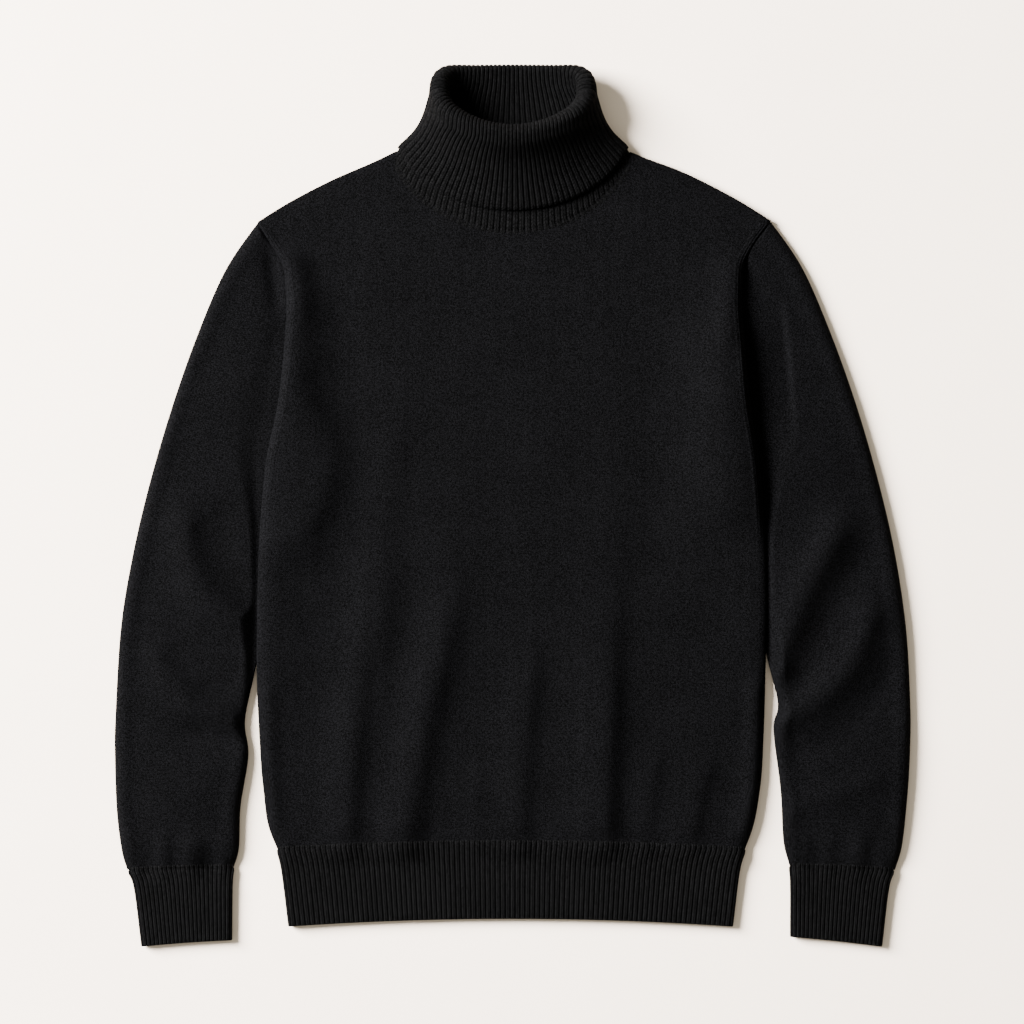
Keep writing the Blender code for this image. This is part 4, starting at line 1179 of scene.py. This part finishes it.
# %% A band's wall
UNDER_STRENGTH = 0.35       # of the ridges that are pressed on the table
UNDER_FLOOR = RIB_RAISE * UNDER_STRENGTH
UNDER_TURN = (-0.2, 0.5)    # how far down the wall faces where the ridges grow shallow
UPPER_TURN = (0.35, 0.95)   # and how far up, where the band lies on the knit above it
RIDGE_START = (-0.5 * MM, 3.0 * MM)     # over which side ridges swell out of the plain knit
OVER_REACHES = (5.2, 4.4, 3.7, 3.0, 2.4, 1.8, 1.2, 0.6)     # mm that a band lies on the knit
SINK_START = 2.4 * MM       # beyond this its end sinks in,
OVER_SINK = 0.55 * MM       # to this depth,
OVER_RISE = 0.12 * MM       # and before it, the band lies this far above
RIDGE_TIPS = (4.6 * MM, 1.4 * MM)   # above the seam: where ridges begin, and are full
BAND_SWELL = 20.0 * MM      # how far down a band the folds above it can still be felt
END_TURNS = 7               # points round the rounded lower end
BAND_TUCK = 2.4 * MM        # how far a band reaches up inside the plain knit
TUCK_DEPTH = 0.7            # how far in that end lies, as a share of the wall
BAND_SQUEEZE = 2.0 * MM     # how much smaller it is there, all round


def band_outline(width, height, n_points):
    """Flattened tube's section as evenly spaced points: across, up and the way out."""
    half = (height - UNDER_FLOOR) / 2.0
    turn = np.linspace(-math.pi / 2.0, math.pi / 2.0, 40)
    corner_across = BAND_ROUND * (1.0 - np.cos(turn))
    corner_up = UNDER_FLOOR + half + half * np.sin(turn)
    fine_across = np.concatenate((corner_across, width - corner_across[::-1],
                                  corner_across[:1]))
    fine_up = np.concatenate((corner_up, corner_up[::-1], corner_up[:1]))
    travelled = running_total(np.hypot(np.diff(fine_across), np.diff(fine_up)))
    side_middle = travelled[len(turn) // 2]
    wanted = side_middle + np.linspace(0.0, travelled[-1], n_points + 1)[:-1]
    wanted = wanted % travelled[-1]
    across = np.interp(wanted, travelled, fine_across)
    up = np.interp(wanted, travelled, fine_up)
    run = np.roll(across, -1) - np.roll(across, 1)
    rise = np.roll(up, -1) - np.roll(up, 1)
    length = np.hypot(run, rise)
    return across, up, -rise / length, run / length


def band_path(last, n_along):
    """Each row of a band's wall: its place, how far it lies beyond it, and how far inside.

    It runs from the end that lies on the knit, down the outside, round the rounded end
    and up the inside.
    """
    turn = np.linspace(0.0, math.pi, END_TURNS)[1:-1]
    over = [(0.0, -reach * MM, 0.0) for reach in OVER_REACHES]
    outer = [(place, 0.0, 0.0) for place in np.linspace(0.0, last, n_along)]
    ending = [(last, 0.5 * RIB_CLOTH * math.sin(t), (1.0 - math.cos(t)) / 2.0) for t in turn]
    inner = [(last, 0.0, 1.0), (last / 2.0, 0.0, 1.0), (0.0, 0.0, 1.0)]
    return over + outer + ending + inner + [(0.0, -BAND_TUCK, TUCK_DEPTH)]


# %% Rows of a band
def band_row(at, beyond, inside, n_points):
    """Points round a band, the ways out of it, and how much of each lies on the knit."""
    left = np.array((at["left_x"], at["left_y"]))
    right = np.array((at["right_x"], at["right_y"]))
    width = np.linalg.norm(right - left)
    along = (right - left) / width
    across, up, out_across, out_up = band_outline(width, at["height"], n_points)
    on_top = smooth_step(out_up, *UPPER_TURN) * (1.0 if inside == 0.0 else 0.0)
    squeeze = BAND_SQUEEZE * min(max(-beyond, 0.0) / BAND_TUCK, 1.0)
    shrink = inside * RIB_CLOTH + squeeze * (1.0 - on_top)
    bow = at["bow"] * (1.0 - (2.0 * across / width - 1.0)**2)
    plan = left + (across - shrink * out_across)[:, None] * along
    points = np.column_stack((plan[:, 0] + beyond * along[1],
                              plan[:, 1] + bow - beyond * along[0], up - shrink * out_up))
    outward = np.column_stack((out_across * along[0], out_across * along[1], out_up))
    return points, outward, on_top


def lay_on_knit(points, on_top, below_seam, cover):
    """Lower a band's upper side onto the knit above it, and sink its end into that."""
    sunk = smooth_step(-below_seam, SINK_START, OVER_REACHES[0] * MM)
    on_knit = cover(points[:, 0], points[:, 1] + max(below_seam, 0.0)) + OVER_RISE
    on_knit = on_knit - (OVER_SINK + OVER_RISE) * sunk
    felt = on_top * (1.0 - smooth_step(below_seam, 0.0, BAND_SWELL))
    points[:, 2] += (on_knit - points[:, 2]) * felt


def ridge_strength(up, on_top, below_seam, inside):
    """How strong a band's ridges are: shallow underneath, and none above the seam."""
    lower = smooth_step(-up, *UNDER_TURN)
    full = (1.0 - lower) + UNDER_STRENGTH * lower
    at_side = smooth_step(below_seam, *RIDGE_START)
    at_top = smooth_step(below_seam, -RIDGE_TIPS[0], -RIDGE_TIPS[1])
    begun = at_side + (at_top - at_side) * on_top
    return full * begun * max(0.0, 1.0 - inside)**0.7


def ribbed_band(name, table, n_ribs, cover, n_along=30):
    """A ribbed tube with a rounded lower end.  cover is the height of the knit above it."""
    n_points = 2 * n_ribs * POINTS_PER_RIB
    seam, _, _ = band_row(row_at(0.0, table, BAND_COLUMNS), 0.0, 0.0, n_points)
    rows, run, strength, outward = [], [], [], []
    for place, beyond, inside in band_path(len(table) - 1.0, n_along):
        at = row_at(place, table, BAND_COLUMNS)
        points, facing, on_top = band_row(at, beyond, inside, n_points)
        below_seam = beyond if beyond < 0.0 else np.mean(seam[:, 1]) - np.mean(points[:, 1])
        if inside == 0.0:
            lay_on_knit(points, on_top, below_seam, cover)
        rows.append(points)
        run.append(np.full(n_points, below_seam))
        strength.append(ridge_strength(facing[:, 2], on_top, below_seam, inside))
        outward.append(facing)
    return ribbed_wall(name, rows, np.array(run), strength, outward, turn_over=True)


# %% Make the hem and the cuffs
def hem_cover(x, y):
    """Height of the front near the hem."""
    return front_height(x, y, np.maximum(side_inset(x, y), 0.0))


def cuff_piece(side):
    """The cuff of one sleeve."""
    return ribbed_band(f"cuff_{side}_rib", CUFF_ROWS[side], CUFF_RIBS,
                       lambda x, y: cuff_cover(x, y, side))


HEM = ribbed_band("hem_rib", HEM_ROWS, HEM_RIBS, hem_cover, n_along=24)
CUFF_L = cuff_piece("left")
CUFF_R = cuff_piece("right")
for band in (HEM, CUFF_L, CUFF_R):
    print(band.name, triangles(band), "triangles")

# %% [markdown]
# ## The collar
#
# One wall follows the whole path of the cloth: from the turned-down edge up to the roll,
# over it, down the inside of the neck to the neckline, and back along the hidden side.
# The layers nearly touch, and the roll at the top is fat because the rib is thick and
# springy.  At the back the collar lies on the table, so its fold is pressed closer and its
# underside has no ridges.


# %% Path of the cloth
def even_angles(first, last, count, ring, y_share=1.0):
    """Angles that divide one stretch of a ring into equal lengths, y counting y_share."""
    fine = first + (last - first) * (1.0 - np.cos(np.linspace(0.0, math.pi, 1600))) / 2.0
    steps = np.linalg.norm(np.diff(ring(fine), axis=0) * (1.0, y_share, 1.0), axis=1)
    travelled = running_total(steps)
    return np.interp(np.linspace(0.0, travelled[-1], count + 1), travelled, fine)


def collar_frame(angle, level):
    """The stand's points at a level, its outward directions and the neck's directions."""
    points = stand_ring(angle, level)
    lean = COLLAR_LEAN * (1.0 + np.cos(angle)) / 2.0
    lean = lean + SIDE_LEAN * np.sin(angle)**4 * smooth_step(level, *LEAN_LEVELS)
    upwards = np.column_stack((np.zeros(len(angle)), np.cos(lean), np.sin(lean)))
    around = stand_ring(angle + 0.01, level) - stand_ring(angle - 0.01, level)
    outwards = np.cross(around, upwards)
    outwards /= np.linalg.norm(outwards, axis=1)[:, None]
    return points, outwards, upwards


def fold_at(angle, level):
    """Distance from the stand to the turned-down layer."""
    back = np.maximum(-np.cos(angle), 0.0)
    full = 1.0 + SIDE_FULL * np.sin(angle)**2 * smooth_step(level, *FULL_LEVELS)
    distance = ring_value(level, "fold") * (1.0 - (1.0 - BACK_FOLD_SHARE) * back) * full
    return np.maximum(distance, LAYER_GAP)


def down_row(angle, level):
    """The turned-down layer at a level: points and the way that its seen side faces."""
    points, outwards, _ = collar_frame(angle, level)
    return points + outwards * fold_at(angle, level)[:, None], outwards


def roll_row(angle, turn):
    """The roll, from 0 at its outer side over its top to 180 degrees at its inner side."""
    points, outwards, upwards = collar_frame(angle, 1.0)
    radius = fold_at(angle, 1.0)[:, None] / 2.0
    facing = outwards * math.cos(turn) + upwards * math.sin(turn)
    return points + outwards * radius + facing * radius, facing


def stand_row(angle, level):
    """The stand at a level, with its seen side facing into the neck."""
    points, outwards, _ = collar_frame(angle, level)
    return points, -outwards


def join_row(angle, reach):
    """A row that lies out over the front at the neckline, and how far it takes part."""
    ring = stand_ring(angle, 0.0)
    share = smooth_step(np.cos(angle), *JOIN_SIDES)
    run = (JOIN_START + reach) * share
    x = ring[:, 0] + run * np.sin(angle)
    y = ring[:, 1] - run * np.cos(angle)
    on_front = front_height(x, y, side_inset(x, y))
    blend = smooth_step(reach, 0.0, JOIN_BEND[0]) * share
    above = JOIN_ABOVE - JOIN_SINK * smooth_step(reach, JOIN_LEVEL, 0.8 * JOIN_REACH)
    z = ring[:, 2] + (on_front - ring[:, 2]) * blend + above * share
    return np.column_stack((x, y, z)), share


# %% Rows of the collar
DOWN_ROWS = 26              # from the turned-down edge up to the roll
STAND_ROWS = 22             # down the inside of the neck
JOIN_ROWS = 9               # out over the front
HIDDEN_BAND = np.linspace(0.03, BAND_TOP, 6)    # levels of the stand's outside, ribbed
HIDDEN_STAND = (0.3, 0.65, 1.0)                 # and plain, where it is covered
HIDDEN_DOWN = (1.0, 0.7, 0.45, TURN_DOWN_END)   # levels inside the turned-down layer
ROLL_TURNS = np.linspace(0.0, math.pi, 15)[1:-1]
UPRIGHT = np.array((0.0, 0.0, 1.0))
EDGE_STRENGTH = 0.6         # of the ridges at the turned-down edge,
JOIN_STRENGTH = 0.85        # of those that run out over the front,
BAND_STRENGTH = 0.8         # and of those on the stand's outside
FACES_DOWN = (-0.7, -0.3)   # up part of the facing: below, ridges are gone, above, whole


def seen_rows(angle):
    """The side that shows: up the turned-down layer, over the roll and into the neck."""
    middles = [down_row(angle, level) for level in np.linspace(TURN_DOWN_END, 1.0, DOWN_ROWS)]
    middles += [roll_row(angle, turn) for turn in ROLL_TURNS]
    middles += [stand_row(angle, level) for level in np.linspace(1.0, 0.0, STAND_ROWS)]
    rows = []
    for number, (points, facing) in enumerate(middles):
        level = TURN_DOWN_END + (1.0 - TURN_DOWN_END) * min(number / (DOWN_ROWS - 1.0), 1.0)
        whole = smooth_step(level, TURN_DOWN_END, TURN_DOWN_END + EDGE_TAPER)
        thickness = EDGE_CLOTH + (RIB_CLOTH - EDGE_CLOTH) * whole
        strength = EDGE_STRENGTH + (1.0 - EDGE_STRENGTH) * whole
        strength = smooth_step(facing[:, 2], *FACES_DOWN) * strength
        rows.append((points + facing * thickness / 2.0, facing, strength))
    return rows


def join_rows(angle):
    """The neckline's ribs, which run out over the front and fade into it."""
    points, facing = stand_row(angle, 0.0)
    edge = points - facing * RIB_CLOTH / 2.0
    rows = []
    for reach in np.linspace(JOIN_REACH, 0.0, JOIN_ROWS):
        spread, share = join_row(angle, reach)
        blend = (smooth_step(reach, 0.0, JOIN_BEND[1]) * share)[:, None]
        way = -facing + (UPRIGHT + facing) * blend
        way = way / np.linalg.norm(way, axis=1)[:, None]
        fading = 1.0 - smooth_step(reach, JOIN_LEVEL, JOIN_RIDGE_END)
        strength = JOIN_STRENGTH * share * fading
        rows.append((edge + (spread - edge) * blend, way, strength))
    return rows


def hidden_rows(angle):
    """The other side: up the outside of the stand and down inside the turned-down layer."""
    levels = np.concatenate((HIDDEN_BAND, HIDDEN_STAND))
    middles = [stand_row(angle, level) for level in levels]
    middles += [roll_row(angle, turn) for turn in ROLL_TURNS[::-2]]
    middles += [down_row(angle, level) for level in HIDDEN_DOWN]
    rows = []
    for number, (points, facing) in enumerate(middles):
        ribbed = BAND_STRENGTH if number < len(HIDDEN_BAND) else 0.0
        strength = ribbed * smooth_step(-facing[:, 2], 0.0, 0.4)
        rows.append((points - facing * RIB_CLOTH / 2.0, -facing, strength))
    return rows


# %% Make the collar
def collar_angles():
    """Angles of the collar's points, evenly spaced along its rings."""
    front = even_angles(-math.pi / 2.0, math.pi / 2.0, POINTS_PER_RIB * COLLAR_RIBS_FRONT,
                        lambda angle: stand_ring(angle, RIB_SPACING_LEVEL))
    back = even_angles(math.pi / 2.0, 3.0 * math.pi / 2.0, POINTS_PER_RIB * COLLAR_RIBS_BACK,
                       lambda angle: stand_ring(angle, 1.0), CORNER_SHARE)
    return np.concatenate((front[:-1], back[:-1]))


def collar_piece():
    """The collar as one closed ribbed wall, with nothing under the table."""
    angle = collar_angles()
    wall = seen_rows(angle) + join_rows(angle) + hidden_rows(angle)
    rows, outward, strength = zip(*wall)
    rows = np.array(rows)
    rows[:, :, 2] = np.maximum(rows[:, :, 2], INNER_FLOOR)
    steps = np.linalg.norm(np.diff(rows, axis=0, prepend=rows[:1]), axis=2)
    run = np.tile(np.cumsum(np.mean(steps, axis=1))[:, None], (1, len(angle)))
    return ribbed_wall("collar_rib", rows, run, strength, outward, Raise=COLLAR_RAISE)


COLLAR = collar_piece()
print("collar:", triangles(COLLAR), "triangles")

# %% [markdown]
# ## Table, light and camera
#
# The sweater lies on a pale plastered table.  A large soft lamp stands up and to the left,
# so folds are lit from that side and the thick edges throw a short soft shadow to the
# right.  The rest of the light comes evenly from all round.  The camera looks straight
# down from high up, so both sleeves are seen from directly above.


# %% The table
def table_material():
    """Pale, matt and very slightly uneven."""
    material, shader = matt_material("pale_table", roughness=0.9, specular=0.2)
    tree = material.node_tree
    place = tree.nodes.new("ShaderNodeTexCoord").outputs["Object"]
    clouds = noise(tree, place, scale=9.0, detail=6.0)
    tree.links.new(mix_colours(tree, clouds, (0.87, 0.745, 0.635, 1.0), (0.92, 0.80, 0.69, 1.0)),
                   shader.inputs["Base Color"])
    return material


def table_top(half=5.0, drop=0.2 * MM):
    """A flat square, a hair below the sweater so that the two never fight."""
    mesh = bpy.data.meshes.new("table_top")
    corners = [(-half, -half, -drop), (half, -half, -drop), (half, half, -drop),
               (-half, half, -drop)]
    mesh.from_pydata(corners, [], [(0, 1, 2, 3)])
    add_piece("table_top", mesh, table_material())


table_top()


# %% Light
def soft_lamp(name, direction, distance, size, power, colour):
    """A round lamp that faces the middle of the table."""
    lamp = bpy.data.lights.new(name, "AREA")
    lamp.shape = "DISK"
    lamp.size = size
    lamp.energy = power
    lamp.color = colour
    holder = add_object(name, lamp)
    holder.location = np.array(direction) / np.linalg.norm(direction) * distance
    holder.rotation_euler = holder.location.to_track_quat("Z", "Y").to_euler()


def even_light(colour, strength):
    """Light of one colour from all round."""
    world = bpy.data.worlds.new("room")
    world.use_nodes = True
    background = world.node_tree.nodes["Background"]
    background.inputs["Color"].default_value = colour
    background.inputs["Strength"].default_value = strength
    bpy.context.scene.world = world


soft_lamp("window_lamp", direction=(-1.0, 0.42, 0.62), distance=5.0, size=2.8, power=3660.0,
          colour=(1.0, 0.98, 0.955))
even_light(colour=(1.0, 0.965, 0.83, 1.0), strength=0.58)

# %% Camera
FRAME_WIDTH = 0.9216        # how much of the table the camera takes in
FRAME_MIDDLE = (-0.00045, -0.0063)  # where it looks down
CAMERA_HEIGHT = 5.0


def overhead_camera():
    """Looks straight down, with the collar at the top of its view."""
    camera = bpy.data.cameras.new("overhead")
    camera.lens = camera.sensor_width * CAMERA_HEIGHT / FRAME_WIDTH
    camera.clip_end = 50.0
    holder = add_object("overhead", camera)
    holder.location = (*FRAME_MIDDLE, CAMERA_HEIGHT)
    bpy.context.scene.camera = holder
    print("lens", round(camera.lens, 1), "mm")


overhead_camera()

# %% [markdown]
# ## What stands for what
#
# Each knitted piece replaces the solid of the same part and rides with the one rigid body.


# %% Bodies
def dress(piece, node):
    """Put a knitted piece in the place of its solid."""
    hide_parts(node)
    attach(piece, "root")


dress(FRONT, "front")
dress(BACK, "back")
dress(SLEEVE_L, "sleeve_left")
dress(SLEEVE_R, "sleeve_right")
dress(CUFF_L, "cuff_left")
dress(CUFF_R, "cuff_right")
dress(HEM, "hem")
dress(COLLAR, "collar")
